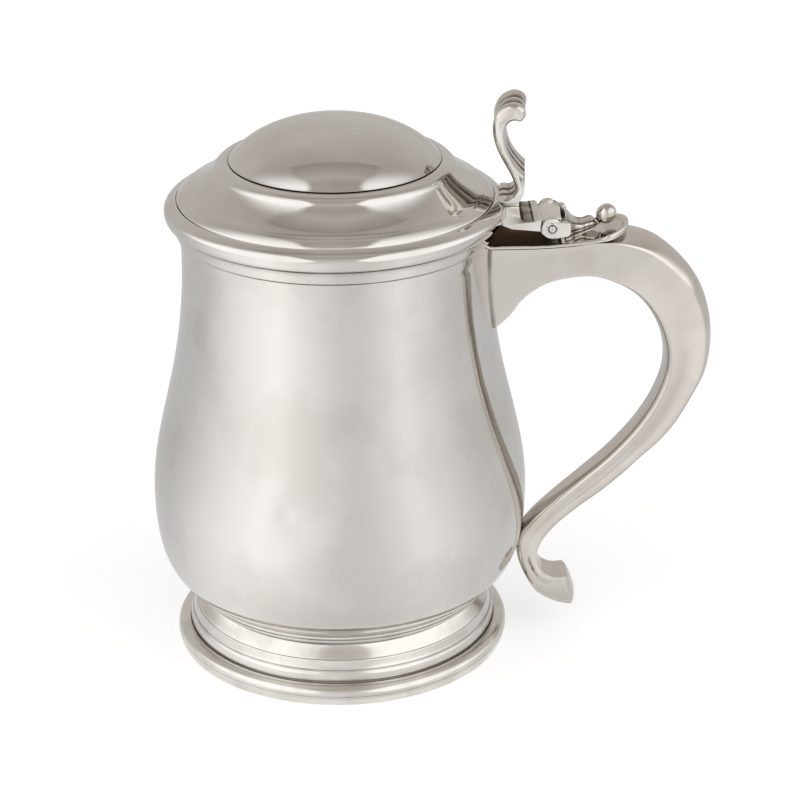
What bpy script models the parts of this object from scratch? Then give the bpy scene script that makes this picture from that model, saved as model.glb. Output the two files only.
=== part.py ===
"""Lidded baluster tankard in silver: a raised body on a moulded foot, a hollow scroll handle,
and a domed lid with a scroll thumbpiece that turns on a three-knuckle hinge."""

import math

import bmesh
import bpy
from mathutils import Matrix

# Units: every size below is in millimetres, the model is in metres.
MM = 0.001

# Fits between neighbouring pieces.
SOLDER_GAP = 0.3
RUNNING_CLEARANCE = 0.1
BEZEL_CLEARANCE = 0.9

# Body: an S curve from the neck to the belly, then in to the seat on the foot.
RIM_HEIGHT = 145.5
RIM_RADIUS = 49.0
LIP_LENGTH = 6.0
NECK_DRAW = 0.25
NECK_RADIUS = RIM_RADIUS - NECK_DRAW
NECK_DROP = 10.5
BELLY_RADIUS = 60.6
BELLY_HEIGHT = 53.0
SEAT_RADIUS = 50.8
SEAT_HEIGHT = 21.6
BOTTOM_SAG = 8.6
BODY_WALL = 0.9
NECK_EASE = 0.49
BELLY_EASE = 0.29
BELLY_UNDER_EASE = 0.45
SEAT_TANGENT = (7.2, 4.9)
BOTTOM_FLAT = 26.0

# Applied moulding round the lip.
BAND_HEIGHT = 4.4
BAND_PROJECTION = 1.0

# Foot: a waisted spool with a reed at its top, on a heavier base ring.
FOOT_WALL = 1.2
FOOT_WAIST_DRAW = 2.9
FOOT_WAIST_RADIUS = SEAT_RADIUS - FOOT_WAIST_DRAW
FOOT_FILLET_DRAW = 0.5
FOOT_FILLET_RADIUS = SEAT_RADIUS - FOOT_FILLET_DRAW
FOOT_FILLET_HEIGHT = 1.9
BASE_PROJECTION = 3.7
FOOT_RADIUS = FOOT_FILLET_RADIUS + BASE_PROJECTION
FOOT_BULGE = 0.8
BASE_HEIGHT = 6.1
BASE_TOP_RADIUS = FOOT_RADIUS - 0.8
BASE_INNER_RADIUS = FOOT_FILLET_RADIUS - FOOT_WALL - 0.2
REED_HEIGHT = 1.8
REED_PROJECTION = 0.5

# Lid: domed cover with a step, a shoulder and an ogee, in a rounded rim wire.
COVER_OVERHANG = 0.6
COVER_RADIUS = RIM_RADIUS + COVER_OVERHANG
COVER_WALL = 0.9
FLANGE_PROJECTION = 4.1
FLANGE_RADIUS = COVER_RADIUS + FLANGE_PROJECTION
FLANGE_HEIGHT = 7.0
FLANGE_EQUATOR = 3.1
FLANGE_WEB = 1.6
DOME_DRAW = 16.6
DOME_RADIUS = COVER_RADIUS - DOME_DRAW
DOME_RISE = 11.1
DOME_STEP = 1.4
SEAM_DEPTH = 0.5
SHOULDER_DRAW = 11.6
SHOULDER_RADIUS = COVER_RADIUS - SHOULDER_DRAW
SHOULDER_DROP = 2.4
OGEE_DRAW = 3.8
OGEE_RADIUS = COVER_RADIUS - OGEE_DRAW
OGEE_DROP = 6.0
COVER_DROP = 3.1
BEZEL_WALL = 1.0
BEZEL_DEPTH = 4.0
BEZEL_RISE = 2.0

# Hinge: a pin across the handle, two cheeks on the handle and one knuckle on the lid.
PIN_REACH = 13.6
PIN_DROP = 2.1
PIN_RADIUS = 1.25
PIN_HEAD_RADIUS = 1.9
PIN_HEAD_THICKNESS = 0.9
KNUCKLE_RADIUS = 3.8
KNUCKLE_FLAT = 2.7
KNUCKLE_HALF_WIDTH = 7.6
CHEEK_RADIUS = 3.25
CHEEK_THICKNESS = 2.1
CHEEK_LENGTH = 5.8
CHEEK_TAIL_TOP = 1.7
CHEEK_TAIL_BOTTOM = 2.7
STRAP_HALF_WIDTH = KNUCKLE_HALF_WIDTH + CHEEK_THICKNESS
STRAP_TOP = 2.2
STRAP_BOTTOM = 1.3
UPRIGHT_RISE = 4.8
UPRIGHT_THICKNESS = 3.1
SLOT = 0.5
BALL_RADIUS = 3.0
BALL_REACH = 17.7
LEAF_TIP_THICKNESS = 1.0

# Standing leaf from its slot to its tip: distance from the pin, half width, top above the top plate's flat.
LEAF_STATIONS = (
    (5.7, 9.9, 7.6),
    (6.5, 7.4, 6.6),
    (7.6, 5.6, 5.5),
    (9.0, 4.5, 4.7),
    (10.5, 4.0, 4.75),
    (12.0, 4.1, 5.2),
    (13.0, 3.9, 5.3),
    (14.0, 3.2, 4.6),
    (14.6, 2.9, 4.0),
)
LEAF_START_HALF_WIDTH = KNUCKLE_HALF_WIDTH + CHEEK_THICKNESS + 0.2
LEAF_START_TOP = 7.9
LEAF_TIP_HALF_WIDTH = 2.8
LEAF_TIP_LENGTH = 2.2
LEAF_EDGE = 0.6

# Handle: a channel with a crowned back and a strip on the finger side.
HANDLE_WALL = 1.0
STRIP_THICKNESS = 2.4
STRIP_CROWN = 1.9
TOP_PLATE_THICKNESS = 1.0
TOP_PLATE_DROP = 5.5
TOP_PLATE_CURL = 0.003
TOP_PLATE_FLAT = 9.3
TONGUE_REACH = 24.7
TONGUE_LENGTH = 9.0
TONGUE_EASE = 0.4
HANDLE_HALF_WIDTH = 10.2
ROOT_BITE = 6.0
CONTACT_HEIGHT = 33.2
CONTACT_BITE = 0.4
SHIELD_THICKNESS = 1.5
SHIELD_DOME = 2.0

# Handle stations from the root to the grip, measured from the pin: finger side (x, z), back (x, z),
# half widths on the finger side and at the back, and the crown of the back. Under the top plate the
# back is flat and its height follows the plate.
ROOT_STATIONS = (
    ((-16.3, -32.2), -16.8),
    ((-13.1, -29.0), -13.3),
    ((-9.3, -23.4), -7.8),
    ((-2.8, -18.6), -1.3),
    ((5.2, -16.1), 6.7),
    ((13.2, -15.6), 14.7),
)
GRIP_STATIONS = (
    ((20.5, -17.7), (23.2, -4.0), 10.1, 10.1, 1.6),
    ((26.3, -20.8), (32.2, -5.8), 9.6, 9.9, 3.0),
    ((31.3, -25.5), (41.0, -12.5), 8.9, 9.4, 3.2),
    ((35.3, -31.8), (47.7, -21.6), 8.2, 8.7, 2.9),
    ((38.1, -38.6), (51.4, -32.4), 7.5, 8.0, 2.5),
    ((39.4, -45.6), (52.2, -42.4), 6.9, 7.4, 2.2),
    ((38.5, -52.6), (50.9, -51.9), 6.4, 6.9, 2.0),
    ((35.3, -59.2), (47.3, -60.4), 6.1, 6.5, 1.8),
)
# Strut between the grip and the body: shares of the way in x and z, on the finger side and the back.
STRUT_SHARES = (
    ((0.134, 0.225), (0.156, 0.258), 5.8, 6.2, 1.8),
    ((0.340, 0.452), (0.370, 0.470), 5.6, 6.0, 1.8),
    ((0.588, 0.661), (0.612, 0.686), 5.4, 5.8, 1.8),
    ((0.813, 0.839), (0.835, 0.852), 5.3, 5.6, 1.7),
)
# Tail from the contact with the body to the shield, measured from the contact point.
TAIL_STATIONS = (
    ((4.1, 6.0), (11.6, 2.6), 5.2, 5.4, 1.5),
    ((0.0, 0.0), (7.8, -2.4), 5.1, 5.3, 1.0),
    ((0.2, -6.6), (6.5, -6.6), 5.0, 5.4, 0.6),
    ((2.7, -14.4), (7.8, -11.8), 4.7, 5.7, 0.3),
    ((7.2, -21.6), (10.8, -14.4), 4.2, 6.0, 0.2),
    ((12.7, -25.0), (12.8, -14.9), 3.5, 6.1, 0.2),
)
TAIL_END = ((19.4, -26.3), (14.8, -14.9), 2.6, 6.2, 0.2)
SIDE_SWELL = 0.35
FLAT_CROWN = 0.2

# Thumbpiece: outline of its scroll in the plane of the handle, measured from the flange's outer edge
# and from the rim; the ribs and flutes across it as shares of the half width and depths; and the
# slight turn it was soldered at.
THUMB_HALF_WIDTH = 8.8
THUMB_FLUTE = 0.9
THUMB_EDGE = 1.0
THUMB_RIB = 0.3
THUMB_TURN = -5.0
THUMB_SCROLL = (
    (-2.6, 6.5),
    (-1.2, 7.0),
    (0.5, 7.1),
    (1.7, 7.9),
    (2.5, 9.3),
    (2.7, 11.0),
    (2.1, 12.9),
    (1.1, 15.2),
    (-0.8, 18.6),
    (-2.7, 22.3),
    (-4.0, 26.0),
    (-4.5, 29.3),
    (-4.2, 32.5),
    (-3.0, 35.2),
    (-0.9, 37.1),
    (1.6, 37.9),
    (4.0, 37.4),
    (5.5, 35.8),
    (5.4, 33.5),
    (4.1, 32.2),
    (2.6, 32.4),
    (1.3, 32.2),
    (0.2, 31.3),
    (-0.6, 29.4),
    (-0.6, 26.5),
    (0.0, 23.2),
    (1.3, 20.0),
    (3.3, 17.1),
    (5.4, 14.7),
)
THUMB_HEEL = (
    (4.1, 13.9),
    (5.2, 12.2),
    (5.5, 10.2),
    (5.0, 8.4),
    (3.9, 6.4),
)
THUMB_PLAIN_ENDS = 6

# Facets.
TURN_STEPS = 44
PIN_STEPS = 32
STATION_STEPS = 2

SILVER = (0.86, 0.84, 0.81, 1.0)


# Plane geometry: points are (x, z) pairs in millimetres.
def lerp(start, end, share):
    return start + (end - start) * share


def bezier(first, first_handle, last_handle, last, steps):
    """Points of a cubic Bezier curve, both ends included."""
    points = []
    for step in range(steps + 1):
        t = step / steps
        s = 1.0 - t
        weights = (s * s * s, 3 * s * s * t, 3 * s * t * t, t * t * t)
        corners = (first, first_handle, last_handle, last)
        points.append(tuple(sum(w * c[axis] for w, c in zip(weights, corners)) for axis in (0, 1)))
    return points


def catmull(rows, steps):
    """Rows of numbers along a smooth curve through the given rows."""
    padded = [rows[0], *rows, rows[-1]]
    smooth = []
    for index in range(1, len(padded) - 2):
        before, start, end, after = padded[index - 1 : index + 3]
        for step in range(steps):
            t = step / steps
            row = []
            for a, b, c, d in zip(before, start, end, after):
                slope_in = (c - a) / 2
                slope_out = (d - b) / 2
                bend = 3 * (c - b) - 2 * slope_in - slope_out
                rest = 2 * (b - c) + slope_in + slope_out
                row.append(b + slope_in * t + bend * t * t + rest * t**3)
            smooth.append(tuple(row))
    smooth.append(tuple(rows[-1]))
    return smooth


def offset(points, distance):
    """An open outline moved to its left by a distance, corner by corner."""
    moved = []
    for index, (x, z) in enumerate(points):
        before = points[max(index - 1, 0)]
        after = points[min(index + 1, len(points) - 1)]
        run = (after[0] - before[0], after[1] - before[1])
        length = math.hypot(*run)
        moved.append((x - run[1] / length * distance, z + run[0] / length * distance))
    return moved


def radius_at(outline, height):
    """Radius of a turned outline at a height."""
    for (r0, z0), (r1, z1) in zip(outline, outline[1:]):
        if min(z0, z1) <= height <= max(z0, z1) and z0 != z1:
            return lerp(r0, r1, (height - z0) / (z1 - z0))
    return outline[0][0]


def height_at(outline, radius):
    """Height of the underside of a turned outline at a radius."""
    for (r0, z0), (r1, z1) in reversed(list(zip(outline, outline[1:]))):
        if min(r0, r1) <= radius <= max(r0, r1) and r0 != r1:
            return lerp(z0, z1, (radius - r0) / (r1 - r0))
    return outline[-1][1]


# Outlines that several pieces share.
def body_outline(neck_steps, belly_steps, bottom_steps):
    """Outside of the body, from the rim down to the middle of its bottom."""
    neck = (NECK_RADIUS, RIM_HEIGHT - NECK_DROP)
    belly = (BELLY_RADIUS, BELLY_HEIGHT)
    seat = (SEAT_RADIUS, SEAT_HEIGHT)
    span = neck[1] - BELLY_HEIGHT
    under = BELLY_HEIGHT - SEAT_HEIGHT
    points = [(RIM_RADIUS, RIM_HEIGHT), (RIM_RADIUS, RIM_HEIGHT - LIP_LENGTH)]
    points += bezier(
        neck,
        (NECK_RADIUS, neck[1] - span * NECK_EASE),
        (BELLY_RADIUS, BELLY_HEIGHT + span * BELLY_EASE),
        belly,
        neck_steps,
    )
    points += bezier(
        belly,
        (BELLY_RADIUS, BELLY_HEIGHT - under * BELLY_UNDER_EASE),
        (SEAT_RADIUS + SEAT_TANGENT[0], SEAT_HEIGHT + SEAT_TANGENT[1]),
        seat,
        belly_steps,
    )[1:]
    points += bezier(
        seat,
        (SEAT_RADIUS - SEAT_TANGENT[0], SEAT_HEIGHT - SEAT_TANGENT[1]),
        (BOTTOM_FLAT, SEAT_HEIGHT - BOTTOM_SAG),
        (0.0, SEAT_HEIGHT - BOTTOM_SAG),
        bottom_steps,
    )[1:]
    return points


BODY_OUTLINE = body_outline(9, 5, 4)
LID_BASE = RIM_HEIGHT + SOLDER_GAP
COVER_HEIGHT = LID_BASE + FLANGE_HEIGHT
PIN_X = FLANGE_RADIUS + PIN_REACH
PIN_Z = RIM_HEIGHT - PIN_DROP


def cover_outline(dome_steps, curve_steps):
    """Outside of the cover, from the top of the dome to its edge."""
    ogee_height = COVER_HEIGHT + COVER_DROP
    shoulder_height = ogee_height + OGEE_DROP
    seam_height = shoulder_height + SHOULDER_DROP
    step_height = seam_height + DOME_STEP
    sphere = (DOME_RADIUS**2 + DOME_RISE**2) / (2 * DOME_RISE)
    edge_angle = math.asin(DOME_RADIUS / sphere)
    centre = step_height + DOME_RISE - sphere
    points = []
    for step in range(dome_steps + 1):
        angle = edge_angle * step / dome_steps
        points.append((sphere * math.sin(angle), centre + sphere * math.cos(angle)))
    points.append((DOME_RADIUS - SEAM_DEPTH, seam_height))
    shoulder = (SHOULDER_RADIUS, shoulder_height)
    ogee = (OGEE_RADIUS, ogee_height)
    reach = SHOULDER_RADIUS - DOME_RADIUS
    points += bezier(
        (DOME_RADIUS + 0.1, seam_height - 0.1),
        (DOME_RADIUS + reach * 0.6, seam_height + 0.2),
        (SHOULDER_RADIUS - reach * 0.16, shoulder_height + SHOULDER_DROP * 0.5),
        shoulder,
        curve_steps,
    )
    run = OGEE_RADIUS - SHOULDER_RADIUS
    points += bezier(
        shoulder,
        (SHOULDER_RADIUS + run * 0.2, shoulder_height - OGEE_DROP * 0.3),
        (OGEE_RADIUS - run * 0.36, ogee_height + OGEE_DROP * 0.23),
        ogee,
        curve_steps,
    )[1:]
    points += bezier(
        ogee,
        (lerp(OGEE_RADIUS, COVER_RADIUS, 0.47), ogee_height - COVER_DROP * 0.29),
        (lerp(OGEE_RADIUS, COVER_RADIUS, 0.79), ogee_height - COVER_DROP * 0.68),
        (COVER_RADIUS, COVER_HEIGHT),
        curve_steps,
    )[1:]
    return points


def flange_outline(steps):
    """Outside of the lid's rim wire, from the edge of the cover down to its flat base."""
    lip = COVER_RADIUS + SOLDER_GAP
    overhang = FLANGE_RADIUS - lip
    equator = LID_BASE + FLANGE_EQUATOR
    upper = bezier(
        (lip, COVER_HEIGHT - 0.1),
        (lip + overhang * 0.53, COVER_HEIGHT - 1.0),
        (FLANGE_RADIUS, equator + 1.9),
        (FLANGE_RADIUS, equator),
        steps,
    )
    lower = bezier(
        (FLANGE_RADIUS, equator),
        (FLANGE_RADIUS, LID_BASE + FLANGE_EQUATOR * 0.5),
        (FLANGE_RADIUS - overhang * 0.2, LID_BASE),
        (FLANGE_RADIUS - overhang * 0.6, LID_BASE),
        steps,
    )
    return upper + lower[1:]


def plate_top(x):
    """Height of the top plate's upper face along the handle."""
    rise = max(0.0, x - (PIN_X - TOP_PLATE_FLAT))
    return PIN_Z - TOP_PLATE_DROP + TOP_PLATE_CURL * rise**2


def back_under_plate(x):
    """Height of the handle's back where the top plate lies on it."""
    return plate_top(x) - TOP_PLATE_THICKNESS - SOLDER_GAP


# Scene set-up.
def clear_scene():
    for item in list(bpy.data.objects):
        bpy.data.objects.remove(item)


def new_collection(name):
    collection = bpy.data.collections.new(name)
    bpy.context.scene.collection.children.link(collection)
    return collection


def silver(name, roughness):
    """Polished silver for one piece."""
    material = bpy.data.materials.new(name + "_silver")
    material.use_nodes = True
    shader = material.node_tree.nodes["Principled BSDF"]
    shader.inputs["Base Color"].default_value = SILVER
    shader.inputs["Metallic"].default_value = 1.0
    shader.inputs["Roughness"].default_value = roughness
    return material


def new_empty(name, location, parent):
    empty = bpy.data.objects.new(name, None)
    empty.location = [value * MM for value in location]
    empty.parent = parent
    bpy.context.scene.collection.objects.link(empty)
    return empty


class Workshop:
    """Makes the pieces and puts them on the body's axis or on the lid's hinge axis."""

    def __init__(self):
        clear_scene()
        self.parts = new_collection("tankard")
        self.cutters = new_collection("cutters")
        self.axis = new_empty("tankard_axis", (0.0, 0.0, 0.0), None)
        self.hinge = new_empty("lid_hinge_axis", (PIN_X, 0.0, PIN_Z), self.axis)

    def place(self, item, on_lid):
        """Parents a piece whose mesh is drawn about the body's axis."""
        item.parent = self.hinge if on_lid else self.axis
        if on_lid:
            item.location = (-PIN_X * MM, 0.0, -PIN_Z * MM)

    def add(self, name, mesh, roughness=0.12, on_lid=False):
        item = bpy.data.objects.new(name, mesh)
        self.parts.objects.link(item)
        self.place(item, on_lid)
        mesh.materials.append(silver(name, roughness))
        return item

    def tool(self, name, mesh, on_lid=False):
        """A shape that only cuts or joins another piece."""
        item = bpy.data.objects.new(name, mesh)
        self.cutters.objects.link(item)
        self.place(item, on_lid)
        item.hide_render = True
        item.display_type = "WIRE"
        return item

    def turn(self, item):
        """Turns a profile drawn at +X about the body's axis."""
        screw = item.modifiers.new("turn", "SCREW")
        screw.axis = "Z"
        screw.angle = math.tau
        screw.steps = TURN_STEPS
        screw.render_steps = TURN_STEPS
        screw.use_merge_vertices = True
        screw.merge_threshold = 0.00001
        screw.use_smooth_shade = True
        return item


def boolean(item, tool, operation):
    modifier = item.modifiers.new(tool.name, "BOOLEAN")
    modifier.operation = operation
    modifier.solver = "EXACT"
    modifier.object = tool


# Meshes.
def profile_mesh(name, points, closed):
    """Edges of a profile in the XZ plane."""
    mesh = bpy.data.meshes.new(name)
    vertices = [(x * MM, 0.0, z * MM) for x, z in points]
    edges = [(index, index + 1) for index in range(len(points) - 1)]
    if closed:
        edges.append((len(points) - 1, 0))
    mesh.from_pydata(vertices, edges, [])
    return mesh


def loft_mesh(name, rings):
    """A closed skin over rings of equally many points, capped at both ends."""
    shape = bmesh.new()
    loops = []
    for ring in rings:
        loops.append([shape.verts.new([value * MM for value in point]) for point in ring])
    count = len(rings[0])
    for lower, upper in zip(loops, loops[1:]):
        for index in range(count):
            following = (index + 1) % count
            shape.faces.new((lower[index], lower[following], upper[following], upper[index]))
    shape.faces.new(reversed(loops[0]))
    shape.faces.new(loops[-1])
    bmesh.ops.recalc_face_normals(shape, faces=shape.faces)
    return finished_mesh(name, shape)


def finished_mesh(name, shape):
    mesh = bpy.data.meshes.new(name)
    shape.to_mesh(mesh)
    shape.free()
    mesh.shade_smooth()
    mesh.set_sharp_from_angle(angle=math.radians(35.0))
    return mesh


def plate_mesh(name, outline, half_width, centre_y=0.0):
    """A flat outline in the XZ plane, thickened across the handle."""
    curve = bpy.data.curves.new(name, "CURVE")
    curve.dimensions = "2D"
    curve.fill_mode = "BOTH"
    curve.extrude = half_width * MM
    spline = curve.splines.new("POLY")
    spline.points.add(len(outline) - 1)
    spline.use_cyclic_u = True
    for point, (x, z) in zip(spline.points, outline):
        point.co = (x * MM, z * MM, 0.0, 1.0)
    drawing = bpy.data.objects.new(name + "_drawing", curve)
    bpy.context.scene.collection.objects.link(drawing)
    graph = bpy.context.evaluated_depsgraph_get()
    mesh = bpy.data.meshes.new_from_object(drawing.evaluated_get(graph))
    bpy.data.objects.remove(drawing)
    shape = bmesh.new()
    shape.from_mesh(mesh)
    bpy.data.meshes.remove(mesh)
    bmesh.ops.remove_doubles(shape, verts=shape.verts, dist=0.000001)
    upright = Matrix.Rotation(math.pi / 2, 4, "X")
    shape.transform(Matrix.Translation((0.0, centre_y * MM, 0.0)) @ upright)
    bmesh.ops.recalc_face_normals(shape, faces=shape.faces)
    return finished_mesh(name, shape)


def cross_cylinder(name, radius, half_length, centre_y=0.0):
    """A cylinder along the hinge pin's axis."""
    shape = bmesh.new()
    place = Matrix.Translation((PIN_X * MM, centre_y * MM, PIN_Z * MM)) @ Matrix.Rotation(math.pi / 2, 4, "X")
    bmesh.ops.create_cone(
        shape,
        cap_ends=True,
        segments=PIN_STEPS,
        radius1=radius * MM,
        radius2=radius * MM,
        depth=2 * half_length * MM,
        matrix=place,
    )
    return finished_mesh(name, shape)


# Body and foot.
def build_vessel(shop):
    inside = offset(body_outline(5, 3, 3), -BODY_WALL)
    inside[0] = (RIM_RADIUS - BODY_WALL, RIM_HEIGHT)
    inside[-1] = (0.0, inside[-1][1])
    profile = list(reversed(inside)) + BODY_OUTLINE
    shop.turn(shop.add("vessel_body", profile_mesh("vessel_body", profile, False)))


def build_rim_band(shop):
    inner = RIM_RADIUS + SOLDER_GAP
    outer = inner + BAND_PROJECTION
    low = RIM_HEIGHT - BAND_HEIGHT
    profile = [(inner, RIM_HEIGHT)]
    profile += [(outer - 0.2, RIM_HEIGHT), (outer, RIM_HEIGHT - 0.3)]
    profile += bezier(
        (outer, RIM_HEIGHT - BAND_HEIGHT * 0.55),
        (outer, RIM_HEIGHT - BAND_HEIGHT * 0.8),
        (outer - BAND_PROJECTION * 0.4, low),
        (inner + 0.2, low),
        3,
    )
    profile.append((inner, low))
    shop.turn(shop.add("rim_band", profile_mesh("rim_band", profile, True)))


def build_foot(shop):
    top_radius = SEAT_RADIUS - 0.2
    top = height_at(BODY_OUTLINE, top_radius) - SOLDER_GAP
    fillet_base = BASE_HEIGHT + SOLDER_GAP
    fillet_top = fillet_base + FOOT_FILLET_HEIGHT
    reed_base = top - REED_HEIGHT
    waist = lerp(fillet_top, reed_base, 0.55)
    reed_root = top_radius - REED_PROJECTION
    outside = [(top_radius, top)]
    outside += [(top_radius + 0.1, top - REED_HEIGHT * 0.5), (reed_root + 0.2, reed_base)]
    outside += bezier(
        (reed_root - 0.4, reed_base - 0.2),
        (reed_root - 1.2, lerp(reed_base, waist, 0.4)),
        (FOOT_WAIST_RADIUS, lerp(waist, reed_base, 0.4)),
        (FOOT_WAIST_RADIUS, waist),
        3,
    )
    outside += bezier(
        (FOOT_WAIST_RADIUS, waist),
        (FOOT_WAIST_RADIUS, lerp(waist, fillet_top, 0.55)),
        (lerp(FOOT_WAIST_RADIUS, FOOT_FILLET_RADIUS, 0.45), fillet_top + 0.4),
        (FOOT_FILLET_RADIUS - 0.1, fillet_top),
        3,
    )[1:]
    outside += [(FOOT_FILLET_RADIUS, fillet_top - 0.2), (FOOT_FILLET_RADIUS, fillet_base)]
    inner_top = top_radius - FOOT_WALL
    inside = [
        (FOOT_FILLET_RADIUS - FOOT_WALL, fillet_base),
        (FOOT_FILLET_RADIUS - FOOT_WALL, fillet_top - 0.8),
        (FOOT_WAIST_RADIUS - FOOT_WALL, lerp(waist, fillet_top, 0.5)),
        (FOOT_WAIST_RADIUS - FOOT_WALL, lerp(waist, reed_base, 0.6)),
        (inner_top, height_at(BODY_OUTLINE, inner_top) - SOLDER_GAP),
    ]
    shop.turn(shop.add("foot_spool", profile_mesh("foot_spool", outside + inside, True)))

    bulge = FOOT_RADIUS + FOOT_BULGE
    base = [(FOOT_FILLET_RADIUS + 0.2, BASE_HEIGHT), (BASE_TOP_RADIUS, BASE_HEIGHT - 0.4)]
    base += bezier(
        (BASE_TOP_RADIUS + 0.5, BASE_HEIGHT * 0.84),
        (bulge - 0.2, BASE_HEIGHT * 0.7),
        (bulge + 0.1, BASE_HEIGHT * 0.3),
        (FOOT_RADIUS, 0.0),
        4,
    )
    base += [(BASE_INNER_RADIUS + 0.8, 0.0), (BASE_INNER_RADIUS, 0.8), (BASE_INNER_RADIUS, BASE_HEIGHT)]
    shop.turn(shop.add("foot_base_ring", profile_mesh("foot_base_ring", base, True)))


# Lid.
def build_lid(shop):
    outside = cover_outline(6, 3)
    inside = offset(cover_outline(4, 2), -COVER_WALL)
    inside[0] = (0.0, inside[0][1])
    edge = COVER_HEIGHT - COVER_WALL * 1.3
    inside[-1] = (COVER_RADIUS - COVER_WALL, edge)
    profile = outside + [(COVER_RADIUS, edge)] + list(reversed(inside))
    cover = shop.add("lid_cover", profile_mesh("lid_cover", profile, False), on_lid=True)
    shop.turn(cover)

    bezel_radius = RIM_RADIUS - BODY_WALL - BEZEL_CLEARANCE
    bore = bezel_radius + SOLDER_GAP
    shelf = edge - SOLDER_GAP
    rim = flange_outline(4)
    web = COVER_RADIUS - COVER_WALL
    rim += [(bore, LID_BASE), (bore, LID_BASE + FLANGE_WEB), (web, LID_BASE + FLANGE_WEB)]
    rim += [(web, shelf), (COVER_RADIUS + SOLDER_GAP, shelf)]
    flange = shop.add("lid_flange", profile_mesh("lid_flange", rim, True), on_lid=True)
    shop.turn(flange)

    low = RIM_HEIGHT - BEZEL_DEPTH
    high = LID_BASE + BEZEL_RISE
    ring = [
        (bezel_radius, high),
        (bezel_radius, low + 0.6),
        (bezel_radius - 0.4, low),
        (bezel_radius - BEZEL_WALL, low),
        (bezel_radius - BEZEL_WALL, high),
    ]
    bezel = shop.add("lid_bezel", profile_mesh("lid_bezel", ring, True), on_lid=True)
    shop.turn(bezel)


def lid_space(shop):
    """Cutter: everything the lid fills, with the solder gap round it."""
    skin = offset(cover_outline(6, 3) + flange_outline(4), SOLDER_GAP)
    skin[0] = (0.0, skin[0][1])
    skin.append((0.0, LID_BASE - SOLDER_GAP))
    return shop.turn(shop.tool("lid_space", profile_mesh("lid_space", skin, False), on_lid=True))


# Hinge.
def build_lid_leaf(shop, space):
    top = LID_BASE + UPRIGHT_RISE
    strap_top = PIN_Z + STRAP_TOP
    strap_bottom = PIN_Z - STRAP_BOTTOM
    strap_end = PIN_X - CHEEK_RADIUS - SOLDER_GAP
    back = FLANGE_RADIUS + UPRIGHT_THICKNESS
    outline = [(FLANGE_RADIUS - 2.0, top)]
    outline += bezier(
        (back, top),
        (back + 0.8, lerp(top, strap_top, 0.5)),
        (back + 1.1, strap_top + 0.2),
        (min(back + 3.9, strap_end - 2.2), strap_top),
        4,
    )
    outline += [(strap_end - 1.9, strap_top)]
    outline += bezier(
        (strap_end - 1.6, strap_top + 0.1),
        (strap_end - 1.3, strap_top + 1.0),
        (strap_end - 0.1, strap_top + 1.0),
        (strap_end, strap_top - 0.1),
        3,
    )
    outline += [(strap_end, strap_bottom), (FLANGE_RADIUS + 1.0, PIN_Z), (FLANGE_RADIUS - 2.0, PIN_Z + 0.9)]
    leaf = shop.add("lid_leaf", plate_mesh("lid_leaf", outline, STRAP_HALF_WIDTH), on_lid=True)
    flat_angle = math.asin(KNUCKLE_FLAT / KNUCKLE_RADIUS)
    low_angle = -math.pi + math.asin((STRAP_BOTTOM - 0.2) / KNUCKLE_RADIUS)
    neck = strap_end - 1.5
    barrel = [(neck, strap_top - 0.4), (PIN_X - KNUCKLE_RADIUS * 0.8, strap_top - 0.4)]
    barrel.append((PIN_X - KNUCKLE_RADIUS * 0.4, PIN_Z + KNUCKLE_FLAT))
    for step in range(15):
        angle = lerp(flat_angle, low_angle, step / 14)
        barrel.append((PIN_X + KNUCKLE_RADIUS * math.cos(angle), PIN_Z + KNUCKLE_RADIUS * math.sin(angle)))
    barrel.append((neck, strap_bottom + 0.2))
    knuckle = shop.tool("knuckle", plate_mesh("knuckle", barrel, KNUCKLE_HALF_WIDTH), on_lid=True)
    boolean(leaf, knuckle, "UNION")
    boolean(leaf, space, "DIFFERENCE")
    hole = cross_cylinder("knuckle_hole", PIN_RADIUS + RUNNING_CLEARANCE, KNUCKLE_HALF_WIDTH + 1.0)
    boolean(leaf, shop.tool("knuckle_hole", hole, on_lid=True), "DIFFERENCE")


def leaf_ring(reach, half_width, top):
    """Section of the standing leaf: flat on the top plate, with eased upper edges."""
    x = PIN_X + reach
    bottom = plate_top(x) + SOLDER_GAP
    ease = min(LEAF_EDGE, (top - bottom) * 0.5)
    return [
        (x, -half_width, bottom),
        (x, -half_width, top - ease),
        (x, -half_width + ease, top),
        (x, half_width - ease, top),
        (x, half_width, top - ease),
        (x, half_width, bottom),
    ]


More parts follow.
